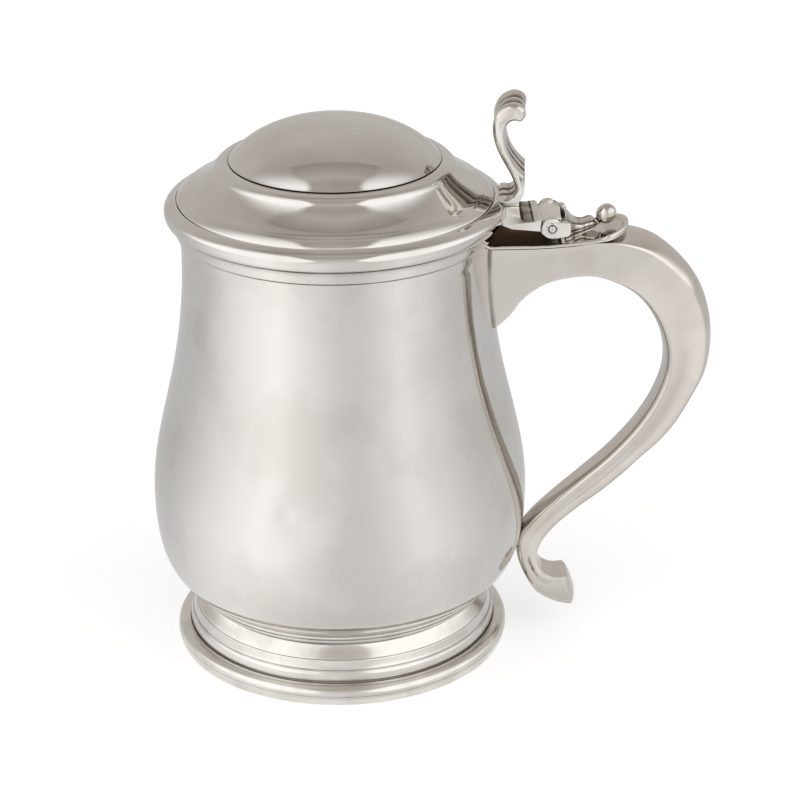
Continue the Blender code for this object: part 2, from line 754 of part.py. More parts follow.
def build_standing_leaf(shop):
    start = KNUCKLE_RADIUS + SOLDER_GAP + SLOT
    ball_x = PIN_X + BALL_REACH
    flat = PIN_Z - TOP_PLATE_DROP
    seat = plate_top(ball_x) + SOLDER_GAP + LEAF_TIP_THICKNESS - flat
    stations = [(start, LEAF_START_HALF_WIDTH, LEAF_START_TOP), *LEAF_STATIONS]
    stations += [
        (BALL_REACH, LEAF_TIP_HALF_WIDTH, seat),
        (BALL_REACH + LEAF_TIP_LENGTH, LEAF_TIP_HALF_WIDTH * 0.5, seat),
    ]
    rings = [leaf_ring(reach, half, flat + top) for reach, half, top in stations]
    leaf = shop.add("hinge_standing_leaf", loft_mesh("hinge_standing_leaf", rings))
    cheek = []
    for step in range(13):
        angle = math.radians(65.0 + 230.0 * step / 12)
        cheek.append((PIN_X + CHEEK_RADIUS * math.cos(angle), PIN_Z + CHEEK_RADIUS * math.sin(angle)))
    cheek += [
        (PIN_X + CHEEK_LENGTH - 0.5, PIN_Z - CHEEK_TAIL_BOTTOM),
        (PIN_X + CHEEK_LENGTH, PIN_Z - CHEEK_TAIL_BOTTOM + 0.5),
        (PIN_X + CHEEK_LENGTH, PIN_Z + CHEEK_TAIL_TOP - 0.5),
        (PIN_X + CHEEK_LENGTH - 0.5, PIN_Z + CHEEK_TAIL_TOP),
    ]
    inner_face = KNUCKLE_HALF_WIDTH + SOLDER_GAP
    middle = inner_face + CHEEK_THICKNESS / 2
    for side, name in ((-1, "near_cheek"), (1, "far_cheek")):
        mesh = plate_mesh(name, cheek, CHEEK_THICKNESS / 2, side * middle)
        boolean(leaf, shop.tool(name, mesh), "UNION")
    outer_face = inner_face + CHEEK_THICKNESS
    hole = cross_cylinder("cheek_holes", PIN_RADIUS + RUNNING_CLEARANCE, outer_face + 1.0)
    boolean(leaf, shop.tool("cheek_holes", hole), "DIFFERENCE")

    ball = bmesh.new()
    ball_z = flat + seat + SOLDER_GAP + BALL_RADIUS
    place = Matrix.Translation((ball_x * MM, 0.0, ball_z * MM))
    bmesh.ops.create_uvsphere(ball, u_segments=18, v_segments=12, radius=BALL_RADIUS * MM, matrix=place)
    shop.add("hinge_ball", finished_mesh("hinge_ball", ball))

    shank = outer_face + SOLDER_GAP + PIN_HEAD_THICKNESS * 0.5
    pin = shop.add("hinge_pin", cross_cylinder("hinge_pin", PIN_RADIUS, shank), roughness=0.2)
    for side, name in ((-1, "near_head"), (1, "far_head")):
        middle = side * (outer_face + SOLDER_GAP + PIN_HEAD_THICKNESS / 2)
        head = cross_cylinder(name, PIN_HEAD_RADIUS, PIN_HEAD_THICKNESS / 2, middle)
        boolean(pin, shop.tool(name, head), "UNION")


# Handle.
def handle_stations():
    """Rows along the handle: finger side x and z, back x and z, half widths and crown."""
    rows = []
    root = (ROOT_STATIONS[0][0][0] - ROOT_BITE, ROOT_STATIONS[0][0][1] - ROOT_BITE * 0.7)
    root_back = ROOT_STATIONS[0][1] - ROOT_BITE
    wide = HANDLE_HALF_WIDTH
    for (x, z), back in ((root, root_back), *ROOT_STATIONS):
        back_x = PIN_X + back
        rows.append((PIN_X + x, PIN_Z + z, back_x, back_under_plate(back_x), wide, wide, FLAT_CROWN))
    for finger, back, inner, outer, crown in GRIP_STATIONS:
        back_z = PIN_Z + back[1]
        if back[0] < TONGUE_REACH:
            back_z = back_under_plate(PIN_X + back[0]) - TONGUE_EASE
        rows.append((PIN_X + finger[0], PIN_Z + finger[1], PIN_X + back[0], back_z, inner, outer, crown))
    grip = rows[-1]
    contact = (radius_at(BODY_OUTLINE, CONTACT_HEIGHT) - CONTACT_BITE, CONTACT_HEIGHT)
    tail = []
    for finger, back, inner, outer, crown in (*TAIL_STATIONS, TAIL_END):
        place = [contact[axis] + finger[axis] for axis in (0, 1)]
        place += [contact[axis] + back[axis] for axis in (0, 1)]
        tail.append((*place, inner, outer, crown))
    for finger, back, inner, outer, crown in STRUT_SHARES:
        place = [lerp(grip[column], tail[0][column], share) for column, share in enumerate((*finger, *back))]
        rows.append((*place, inner, outer, crown))
    return rows + tail


def end_normal(row):
    """Direction out of the end of the handle."""
    run = (row[2] - row[0], row[3] - row[1])
    length = math.hypot(*run)
    return (run[1] / length, -run[0] / length)


def moved(row, normal, distance):
    step = (normal[0] * distance, normal[1] * distance)
    return (row[0] + step[0], row[1] + step[1], row[2] + step[0], row[3] + step[1], *row[4:])


def section(row, places):
    """Points of a handle section: across the handle and up from the finger side."""
    depth = math.hypot(row[2] - row[0], row[3] - row[1])
    up = ((row[2] - row[0]) / depth, (row[3] - row[1]) / depth)
    return [(row[0] + up[0] * rise, across, row[1] + up[1] * rise) for across, rise in places]


def section_depth(row):
    return math.hypot(row[2] - row[0], row[3] - row[1])


def crown_places(half):
    """Right half of the strip's crowned face, from its middle to its edge."""
    return [(half * share, STRIP_CROWN * share**2) for share in (0.4, 0.75, 1.0)]


def strip_places(row):
    half = row[4]
    right = [*crown_places(half), (half, STRIP_THICKNESS)]
    left = [(-across, rise) for across, rise in reversed(right)]
    return left + [(0.0, 0.0)] + right


def shell_places(row):
    inner, outer, crown = row[4:7]
    depth = section_depth(row)
    start = STRIP_THICKNESS + SOLDER_GAP
    arris = depth - crown
    swell = lerp(inner, outer, 0.5) + (outer - inner) * SIDE_SWELL
    outside = [(inner, start), (swell, lerp(start, arris, 0.5))]
    outside += [(outer, arris), (outer * 0.55, depth - crown * 0.3)]
    bore_top = arris - HANDLE_WALL
    inside = [(inner - HANDLE_WALL, start), (outer - HANDLE_WALL, bore_top)]
    left = [(-across, rise) for across, rise in outside]
    right = list(reversed(outside))
    bore_right = inside
    bore_left = [(-across, rise) for across, rise in reversed(inside)]
    return left + [(0.0, depth)] + right + bore_right + [(0.0, depth - HANDLE_WALL)] + bore_left


def shield_places(row, scale):
    """Outline of the whole section, drawn in towards its middle."""
    inner, outer, crown = row[4:7]
    depth = section_depth(row)
    start = STRIP_THICKNESS + SOLDER_GAP
    swell = lerp(inner, outer, 0.5) + (outer - inner) * SIDE_SWELL
    right = [*crown_places(inner), (swell, lerp(start, depth - crown, 0.5)), (outer, depth - crown)]
    left = [(-across, rise) for across, rise in right]
    places = [(0.0, 0.0), *left, (0.0, depth), *reversed(right)]
    return [(across * scale, lerp(depth / 2, rise, scale)) for across, rise in places]


def body_space(shop):
    """Cutter: everything the body fills, with the solder gap round it."""
    skin = offset(BODY_OUTLINE, SOLDER_GAP)
    skin[-1] = (0.0, skin[-1][1])
    skin.insert(0, (0.0, skin[0][1]))
    return shop.turn(shop.tool("body_space", profile_mesh("body_space", skin, False)))


def build_handle(shop):
    space = body_space(shop)
    rows = handle_stations()
    end = rows[-1]
    normal = end_normal(end)
    rows[-1] = moved(end, normal, -SHIELD_THICKNESS - SOLDER_GAP)
    smooth = catmull(rows, STATION_STEPS)
    shell = loft_mesh("handle_back_shell", [section(row, shell_places(row)) for row in smooth])
    boolean(shop.add("handle_back_shell", shell), space, "DIFFERENCE")
    strip = loft_mesh("handle_inner_strip", [section(row, strip_places(row)) for row in smooth])
    boolean(shop.add("handle_inner_strip", strip), space, "DIFFERENCE")
    rings = []
    for rise, scale in ((-SHIELD_THICKNESS, 1.0), (0.0, 1.0), (SHIELD_DOME * 0.7, 0.7), (SHIELD_DOME, 0.3)):
        row = moved(end, normal, rise)
        rings.append(section(row, shield_places(row, scale)))
    shop.add("handle_end_shield", loft_mesh("handle_end_shield", rings))

    tongue_end = PIN_X + TONGUE_REACH
    tongue_start = tongue_end - TONGUE_LENGTH
    root = PIN_X + ROOT_STATIONS[0][1] - ROOT_BITE
    places = [lerp(root, tongue_start, step / 5) for step in range(6)]
    angles = [math.radians(90.0 * step / 6) for step in range(1, 6)] + [math.radians(86.0)]
    places += [tongue_start + TONGUE_LENGTH * math.sin(angle) for angle in angles]
    rings = []
    for x in places:
        share = max(0.0, (x - tongue_start) / TONGUE_LENGTH)
        half = HANDLE_HALF_WIDTH * math.sqrt(1.0 - share**2)
        top = plate_top(x)
        low = top - TOP_PLATE_THICKNESS
        rings.append([(x, -half, low), (x, -half, top), (x, half, top), (x, half, low)])
    plate = shop.add("handle_top_plate", loft_mesh("handle_top_plate", rings))
    boolean(plate, space, "DIFFERENCE")


# Thumbpiece.
def inset(points, distance):
    """A closed outline, drawn clockwise, moved inwards by a distance."""
    shifted = []
    for index, (x, z) in enumerate(points):
        before = points[index - 1]
        after = points[(index + 1) % len(points)]
        run = (after[0] - before[0], after[1] - before[1])
        length = math.hypot(*run)
        shifted.append((x + run[1] / length * distance, z - run[0] / length * distance))
    return shifted


def build_thumbpiece(shop, space):
    base = LID_BASE + UPRIGHT_RISE + SOLDER_GAP - RIM_HEIGHT
    scroll = len(THUMB_SCROLL)
    outline = [*THUMB_SCROLL, *THUMB_HEEL, (THUMB_HEEL[-1][0], base), (THUMB_SCROLL[0][0], base)]
    sides = (
        (1.0, THUMB_EDGE),
        (0.86, 0.0),
        (0.5, THUMB_EDGE * 0.2),
        (0.3, THUMB_FLUTE),
        (0.1, THUMB_RIB),
    )
    across = [(-share, depth) for share, depth in sides] + list(reversed(sides))
    turn = math.radians(THUMB_TURN)
    rings = []
    for share, depth in across:
        sunk = inset(outline, depth)
        ring = []
        for index, (point, low) in enumerate(zip(outline, sunk)):
            from_end = min(index, scroll - 1 - index)
            weight = min(1.0, max(0.0, from_end / THUMB_PLAIN_ENDS))
            x = lerp(point[0], low[0], weight)
            z = lerp(point[1], low[1], weight)
            y = share * THUMB_HALF_WIDTH
            turned = (x * math.cos(turn) - y * math.sin(turn), x * math.sin(turn) + y * math.cos(turn))
            ring.append((FLANGE_RADIUS + turned[0], turned[1], RIM_HEIGHT + z))
        rings.append(ring)
    piece = shop.add("thumbpiece", loft_mesh("thumbpiece", rings), on_lid=True)
    boolean(piece, space, "DIFFERENCE")


def centre_on_base(shop):
    """Moves the model so that the middle of its bounding box stands over the origin."""
    bpy.context.view_layer.update()
    graph = bpy.context.evaluated_depsgraph_get()
    spans = []
    for item in shop.parts.objects:
        mesh = item.evaluated_get(graph).to_mesh()
        spans += [(item.matrix_world @ vertex.co).x for vertex in mesh.vertices]
    shop.axis.location.x = -(min(spans) + max(spans)) / 2


def main():
    shop = Workshop()
    build_vessel(shop)
    build_rim_band(shop)
    build_foot(shop)
    build_handle(shop)
    build_standing_leaf(shop)
    build_lid(shop)
    space = lid_space(shop)
    build_lid_leaf(shop, space)
    build_thumbpiece(shop, space)
    centre_on_base(shop)


main()
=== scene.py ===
"""Looks of the lidded silver tankard.

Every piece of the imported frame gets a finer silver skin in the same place: the turned pieces come off a
lathe of geometry nodes, the hollow handle is lofted from sections, and the cast hinge and thumbpiece are
carved meshes. A plain light tent and the camera complete the picture. Sizes are in millimetres, measured
from the axis of the body and the table top, and the meshes are in metres.
"""

import logging
from collections.abc import Callable, Sequence
from dataclasses import dataclass
from enum import Enum
from math import asin, atan2, cos, exp, hypot, pi, radians, sin, sqrt, tau

import bmesh
import bpy
import numpy as np
from bmesh.types import BMesh
from bpy.types import Material, Mesh, NodeOutputs, NodeSocket, NodeTree, Object
from mathutils import Matrix, Vector
from mathutils.bvhtree import BVHTree

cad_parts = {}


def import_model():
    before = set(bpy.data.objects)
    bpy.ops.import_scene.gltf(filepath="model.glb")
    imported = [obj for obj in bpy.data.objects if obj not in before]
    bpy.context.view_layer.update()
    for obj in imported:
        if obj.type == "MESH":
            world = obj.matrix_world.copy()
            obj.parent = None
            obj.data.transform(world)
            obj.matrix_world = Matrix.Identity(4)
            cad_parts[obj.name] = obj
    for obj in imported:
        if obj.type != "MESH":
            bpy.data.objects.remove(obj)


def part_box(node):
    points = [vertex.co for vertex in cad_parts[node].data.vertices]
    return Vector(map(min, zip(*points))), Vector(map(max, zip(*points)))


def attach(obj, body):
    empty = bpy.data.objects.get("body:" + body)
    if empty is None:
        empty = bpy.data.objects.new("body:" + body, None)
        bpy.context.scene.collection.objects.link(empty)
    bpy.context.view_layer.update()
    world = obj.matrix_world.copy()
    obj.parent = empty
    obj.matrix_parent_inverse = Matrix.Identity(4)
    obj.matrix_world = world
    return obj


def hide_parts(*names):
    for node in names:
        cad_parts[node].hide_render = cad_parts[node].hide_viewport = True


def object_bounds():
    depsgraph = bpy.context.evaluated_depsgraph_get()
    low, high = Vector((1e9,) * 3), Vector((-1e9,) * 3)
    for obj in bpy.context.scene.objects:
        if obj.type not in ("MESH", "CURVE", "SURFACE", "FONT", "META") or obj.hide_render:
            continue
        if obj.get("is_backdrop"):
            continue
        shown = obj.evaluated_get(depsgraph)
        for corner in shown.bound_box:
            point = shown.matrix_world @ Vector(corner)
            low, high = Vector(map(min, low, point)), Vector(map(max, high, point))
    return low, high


LOG = logging.getLogger("tankard")
MM = 0.001
# Points nearer than this, in metres, count as one.
HAIR = 1e-7

Point = tuple[float, float]
Outline = list[Point]
Spot = tuple[float, float, float]
Row = tuple[float, ...]
Station = tuple[Point, Point, float, float, float]
# Oxide and painted shade by place, from an array of points.
OxideAndShade = Callable[[np.ndarray], np.ndarray]


class Body(Enum):
    """The two bodies of the frame."""

    VESSEL = "vessel"
    LID = "lid"


class Slot(Enum):
    """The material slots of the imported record."""

    POLISHED = "polished_silver"
    CAST = "cast_silver"


class Crease(Enum):
    """Angle in degrees from which an edge of a kind of piece stays sharp."""

    CUT = 40.0
    HINGE = 45.0
    SHEET = 50.0
    SCROLL = 55.0
    PLATE = 60.0


def srgb(code: str) -> tuple[float, float, float, float]:
    """Linear colour of an sRGB hex code.

    Args:
        code: Six hex digits.

    Returns:
        Red, green, blue and full alpha.
    """
    values = [int(code[index : index + 2], 16) / 255 for index in (0, 2, 4)]
    linear = [v / 12.92 if v <= 0.04045 else ((v + 0.055) / 1.055) ** 2.4 for v in values]
    return (linear[0], linear[1], linear[2], 1.0)


def lerp(start: float, end: float, share: float) -> float:
    """Value a share of the way from start to end."""
    return start + (end - start) * share


def bezier(first: Point, first_handle: Point, last_handle: Point, last: Point, steps: int) -> Outline:
    """Points of a cubic Bezier curve, both ends included.

    Args:
        first: First point.
        first_handle: Its handle.
        last_handle: Handle of the last point.
        last: Last point.
        steps: Steps along it.

    Returns:
        The points.
    """
    corners = np.array((first, first_handle, last_handle, last))
    t = np.linspace(0.0, 1.0, steps + 1)
    s = 1.0 - t
    weights = np.stack((s**3, 3 * s * s * t, 3 * s * t * t, t**3), axis=1)
    return [(float(x), float(z)) for x, z in weights @ corners]


def reed(start: Point, end: Point, swell: float, steps: int = 8) -> Outline:
    """A half round between two points, or a groove where the swell is negative.

    Args:
        start: First point.
        end: Last point.
        swell: Height of the round, to the left of the way from start to end.
        steps: Facets across it.

    Returns:
        The points, both ends included.
    """
    run = (end[0] - start[0], end[1] - start[1])
    length = hypot(*run)
    left = (-run[1] / length, run[0] / length)
    points = []
    for step in range(steps + 1):
        share = step / steps
        rise = swell * sin(pi * share)
        x = start[0] + run[0] * share + left[0] * rise
        z = start[1] + run[1] * share + left[1] * rise
        points.append((x, z))
    return points


def smooth(rows: Sequence[Row], steps: int) -> list[Row]:
    """Rows of numbers along a smooth curve through the given rows, however unevenly they are spaced.

    Args:
        rows: The rows to pass through.
        steps: Steps between two of them.

    Returns:
        The finer rows.
    """
    table = np.array(rows, dtype=float)
    run = np.diff(table, axis=0)
    length = np.linalg.norm(run, axis=1)[:, None]
    pace = run / length
    slope = np.empty_like(table)
    slope[1:-1] = (pace[:-1] * length[1:] + pace[1:] * length[:-1]) / (length[:-1] + length[1:])
    slope[0], slope[-1] = 2 * pace[0] - slope[1], 2 * pace[-1] - slope[-2]
    finer = []
    for index in range(len(run)):
        start = table[index]
        step_in, step_out = slope[index] * length[index], slope[index + 1] * length[index]
        bend = 3 * run[index] - 2 * step_in - step_out
        rest = step_in + step_out - 2 * run[index]
        for step in range(steps):
            t = step / steps
            finer.append(tuple(start + step_in * t + bend * t * t + rest * t**3))
    finer.append(tuple(table[-1]))
    return finer


def offset(points: Sequence[Point], distance: float) -> Outline:
    """An open outline moved to its left by a distance.

    Args:
        points: The outline.
        distance: How far it moves.

    Returns:
        The moved outline.
    """
    table = np.array(points)
    run = np.empty_like(table)
    run[1:-1] = table[2:] - table[:-2]
    run[0], run[-1] = table[1] - table[0], table[-1] - table[-2]
    run /= np.linalg.norm(run, axis=1)[:, None]
    moved = table + np.stack((-run[:, 1], run[:, 0]), axis=1) * distance
    return [(float(x), float(z)) for x, z in moved]


def radius_at(outline: Sequence[Point], height: float) -> float:
    """Radius of a turned outline at a height.

    Args:
        outline: Radius and height of each point.
        height: The height.

    Returns:
        The radius.
    """
    for (r0, z0), (r1, z1) in zip(outline, outline[1:]):
        if min(z0, z1) <= height <= max(z0, z1) and z0 != z1:
            return lerp(r0, r1, (height - z0) / (z1 - z0))
    return outline[0][0]


# Blender's names of the node types that are used most, and the setting of a range with soft ends.
MATHS = "ShaderNodeMath"
VECTOR = "ShaderNodeVectorMath"
RANGE = "ShaderNodeMapRange"
MIX = "ShaderNodeMix"
NOISE = "ShaderNodeTexNoise"
SOFT = {"interpolation_type": "SMOOTHSTEP"}


def add_node(tree: NodeTree, kind: str, links: dict | Sequence | None = None, **settings) -> NodeOutputs:
    """Adds a node, sets its options and fills or links its inputs.

    Args:
        tree: Tree that takes the node.
        kind: Blender's name of the node type.
        links: Output socket or plain value of each input, by its name or number or in order.
        **settings: Options of the node.

    Returns:
        The outputs of the node.
    """
    node = tree.nodes.new(kind)
    for option, value in settings.items():
        setattr(node, option, value)
    given = links if isinstance(links, dict) else dict(enumerate(links or ()))
    for place, value in given.items():
        socket = node.inputs[place]
        if isinstance(value, NodeSocket):
            tree.links.new(value, socket)
        else:
            socket.default_value = value
    return node.outputs


def new_object(name: str, data: bpy.types.ID) -> Object:
    """A new object in the scene."""
    item = bpy.data.objects.new(name, data)
    bpy.context.scene.collection.objects.link(item)
    return item


def plain_mesh(item: Object) -> Mesh:
    """Plain mesh of an object with its modifiers applied."""
    graph = bpy.context.evaluated_depsgraph_get()
    return bpy.data.meshes.new_from_object(item.evaluated_get(graph))


def blank_material(name: str) -> Material:
    """A material whose tree has no nodes yet."""
    material = bpy.data.materials.new(name)
    material.use_nodes = True
    material.node_tree.nodes.clear()
    return material


def scale_of(size: float) -> float:
    """Scale of a pattern whose lumps are a size in millimetres."""
    return 1.0 / (size * MM)


@dataclass(frozen=True)
class Silver:
    """Sterling silver, raised or cast, polished by hand and worn by use.

    The colour drifts slightly, dark oxide stays in the recesses, painted shade darkens the seams, the
    crannies and the plate under the lid's strap in the same dark colour, the edges are rubbed bright, and the
    surface has soft ripples from planishing, a few small dents and fine scratches.
    """

    name: str
    tint: str = "d2cfcb"
    drift: str = "c3beb8"
    # Dark colour of oxide in the hollows, also used as painted shade at seams, crannies and under the strap.
    oxide_and_shade: str = "2a1e17"
    rubbed: str = "e6e3de"
    oxide_glance: str = "d4c8bc"
    roughness: float = 0.045
    smear: float = 0.045
    oxide_and_shade_share: float = 0.98
    drift_size: float = 26.0
    ripple_size: float = 17.0
    ripple: float = 0.05
    dent_size: float = 24.0
    dent: float = 0.03
    # Real polishing lines are about 0.02 mm wide; they are drawn at 0.5 mm, which the picture can hold.
    scratch_size: float = 0.5
    scratch: float = 0.002
    scratch_slant: Spot = (0.5, 0.3, 0.9)
    scratch_draw: Spot = (1.0, 0.09, 1.0)
    # Levels of the noise or of the form between which each effect grows, and its full strength.
    drift_range: Point = (0.42, 0.66)
    drift_share: float = 0.55
    rub_range: Point = (0.15, 0.9)
    rub_share: float = 0.7
    oxide_and_shade_range: Point = (0.1, 0.9)
    oxide_dull: float = 0.3
    break_range: Point = (0.25, 0.7)
    break_shares: Point = (0.75, 1.1)
    smear_range: Point = (0.3, 0.75)
    scratch_range: Point = (0.6, 0.8)
    scratch_dull: float = 0.05
    wear_range: Point = (0.2, 1.0)
    wear_dull: float = 0.05
    dent_share: float = 0.09

    def material(self) -> Material:
        """Builds the node material.

        Returns:
            The material.
        """
        material = blank_material(self.name)
        tree = material.node_tree
        place = add_node(tree, "ShaderNodeTexCoord")["Object"]
        recess = add_node(tree, "ShaderNodeAttribute", attribute_name="recess")["Fac"]
        edge = add_node(tree, "ShaderNodeAttribute", attribute_name="edge")["Fac"]
        links = {"Vector": place, "Scale": scale_of(self.drift_size), "Detail": 5.0}
        clouds = add_node(tree, NOISE, links)["Fac"]
        # Fine polishing lines are drawn out along one slant.
        links = {"Vector": place, "Rotation": self.scratch_slant, "Scale": self.scratch_draw}
        drawn = add_node(tree, "ShaderNodeMapping", links)["Vector"]
        links = {"Vector": drawn, "Scale": scale_of(self.scratch_size), "Detail": 2.0}
        streaks = add_node(tree, NOISE, links)["Fac"]
        stain = self.stain(tree, clouds, recess)
        links = {0: stain, 6: srgb("ffffff"), 7: srgb(self.oxide_glance)}
        glance = add_node(tree, MIX, links, data_type="RGBA")[2]
        skin = {
            "Base Color": self.colour(tree, clouds, stain, edge),
            "Metallic": 1.0,
            "Roughness": self.shine(tree, clouds, streaks, recess, edge),
            "Specular Tint": glance,
            "Normal": self.relief(tree, place, streaks),
        }
        shader = add_node(tree, "ShaderNodeBsdfPrincipled", skin)["BSDF"]
        add_node(tree, "ShaderNodeOutputMaterial", {"Surface": shader})
        return material

    def stain(self, tree: NodeTree, clouds: NodeSocket, recess: NodeSocket) -> NodeSocket:
        """Share of oxide and painted shade, broken up a little."""
        breaks = add_node(tree, RANGE, (clouds, *self.break_range, *self.break_shares), **SOFT)[0]
        broken = add_node(tree, MATHS, (recess, breaks), operation="MULTIPLY")[0]
        return add_node(tree, RANGE, (broken, *self.oxide_and_shade_range, 0.0, self.oxide_and_shade_share), **SOFT)[0]

    def colour(
        self, tree: NodeTree, clouds: NodeSocket, stain: NodeSocket, edge: NodeSocket
    ) -> NodeSocket:
        """Colour with drift, rubbed edges, oxide in the recesses and painted shade at seams and crannies.

        Args:
            tree: Tree that takes the nodes.
            clouds: Slow drift over the surface.
            stain: Share of oxide and painted shade.
            edge: Share of wear.

        Returns:
            The colour.
        """
        drift = add_node(tree, RANGE, (clouds, *self.drift_range, 0.0, self.drift_share), **SOFT)[0]
        rub = add_node(tree, RANGE, (edge, *self.rub_range, 0.0, self.rub_share), **SOFT)[0]
        metal = srgb(self.tint)
        # The last mix lays on oxide and painted shade.
        for share, over in ((drift, self.drift), (rub, self.rubbed), (stain, self.oxide_and_shade)):
            metal = add_node(tree, MIX, {0: share, 6: metal, 7: srgb(over)}, data_type="RGBA")[2]
        return metal

    def shine(
        self,
        tree: NodeTree,
        clouds: NodeSocket,
        streaks: NodeSocket,
        recess: NodeSocket,
        edge: NodeSocket,
    ) -> NodeSocket:
        """Roughness: smears and scratches, edges worn a little, and dull oxide.

        Args:
            tree: Tree that takes the nodes.
            clouds: Slow drift over the surface.
            streaks: Polishing lines.
            recess: How hollow it is.
            edge: Share of wear.

        Returns:
            The roughness.
        """
        levels = (self.roughness, self.roughness + self.smear)
        rough = add_node(tree, RANGE, (clouds, *self.smear_range, *levels), **SOFT)[0]
        causes = (
            (streaks, self.scratch_range, self.scratch_dull),
            (edge, self.wear_range, self.wear_dull),
            (recess, self.oxide_and_shade_range, self.oxide_dull),
        )
        for cause, span, dull in causes:
            more = add_node(tree, RANGE, (cause, *span, 0.0, dull), **SOFT)[0]
            rough = add_node(tree, MATHS, (rough, more), operation="ADD")[0]
        return rough

    def relief(self, tree: NodeTree, place: NodeSocket, streaks: NodeSocket) -> NodeSocket:
        """Bump: planishing ripples, a few dents, and scratches.

        Args:
            tree: Tree that takes the nodes.
            place: Place on the piece.
            streaks: Polishing lines.

        Returns:
            The normal.
        """
        links = {"Vector": place, "Scale": scale_of(self.ripple_size), "Detail": 1.0}
        ripples = add_node(tree, NOISE, links)["Fac"]
        links = {"Vector": place, "Scale": scale_of(self.dent_size)}
        cells = add_node(tree, "ShaderNodeTexVoronoi", links)["Distance"]
        pits = add_node(tree, RANGE, (cells, 0.0, self.dent_share, -1.0, 0.0), **SOFT)[0]
        links = {"Strength": 1.0}
        for height, depth in ((ripples, self.ripple), (pits, self.dent), (streaks, self.scratch)):
            links |= {"Height": height, "Distance": depth * MM}
            links["Normal"] = add_node(tree, "ShaderNodeBump", links)["Normal"]
        return links["Normal"]


# Sterling sheet, raised with the hammer and polished: a clear mirror with soft ripples.
POLISHED = Silver("polished_silver_skin")
# The same on the foot, scuffed by standing and cleaning: a dull, blurred gleam.
WORN = Silver(
    "worn_silver_skin",
    tint="d8d5d0",
    roughness=0.16,
    smear=0.1,
    oxide_and_shade_share=0.62,
    ripple_size=9.0,
    ripple=0.06,
    drift_size=12.0,
)
# The same on the handle, dulled and warmed by hands: a greyer mirror with smears.
HANDLED = Silver(
    "handled_silver_skin",
    tint="d0cac4",
    drift="c6beb5",
    rubbed="dad5ce",
    roughness=0.08,
    smear=0.08,
    drift_size=14.0,
)
# Cast and chased sterling: small ripples left by the mould, a softer gleam and a browner drift.
CAST = Silver(
    "cast_silver_skin",
    tint="cdc8c2",
    drift="bab2a9",
    roughness=0.1,
    smear=0.1,
    drift_size=5.0,
    ripple_size=4.0,
    ripple=0.035,
    dent_size=7.0,
    dent=0.012,
)
# Sterling left from the hammer inside, hardly polished: a grey, matt sheen with broad stains.
INSIDE = Silver(
    "inside_silver_skin",
    tint="cfc9c0",
    drift="b7aea2",
    roughness=0.3,
    smear=0.12,
    drift_size=20.0,
)


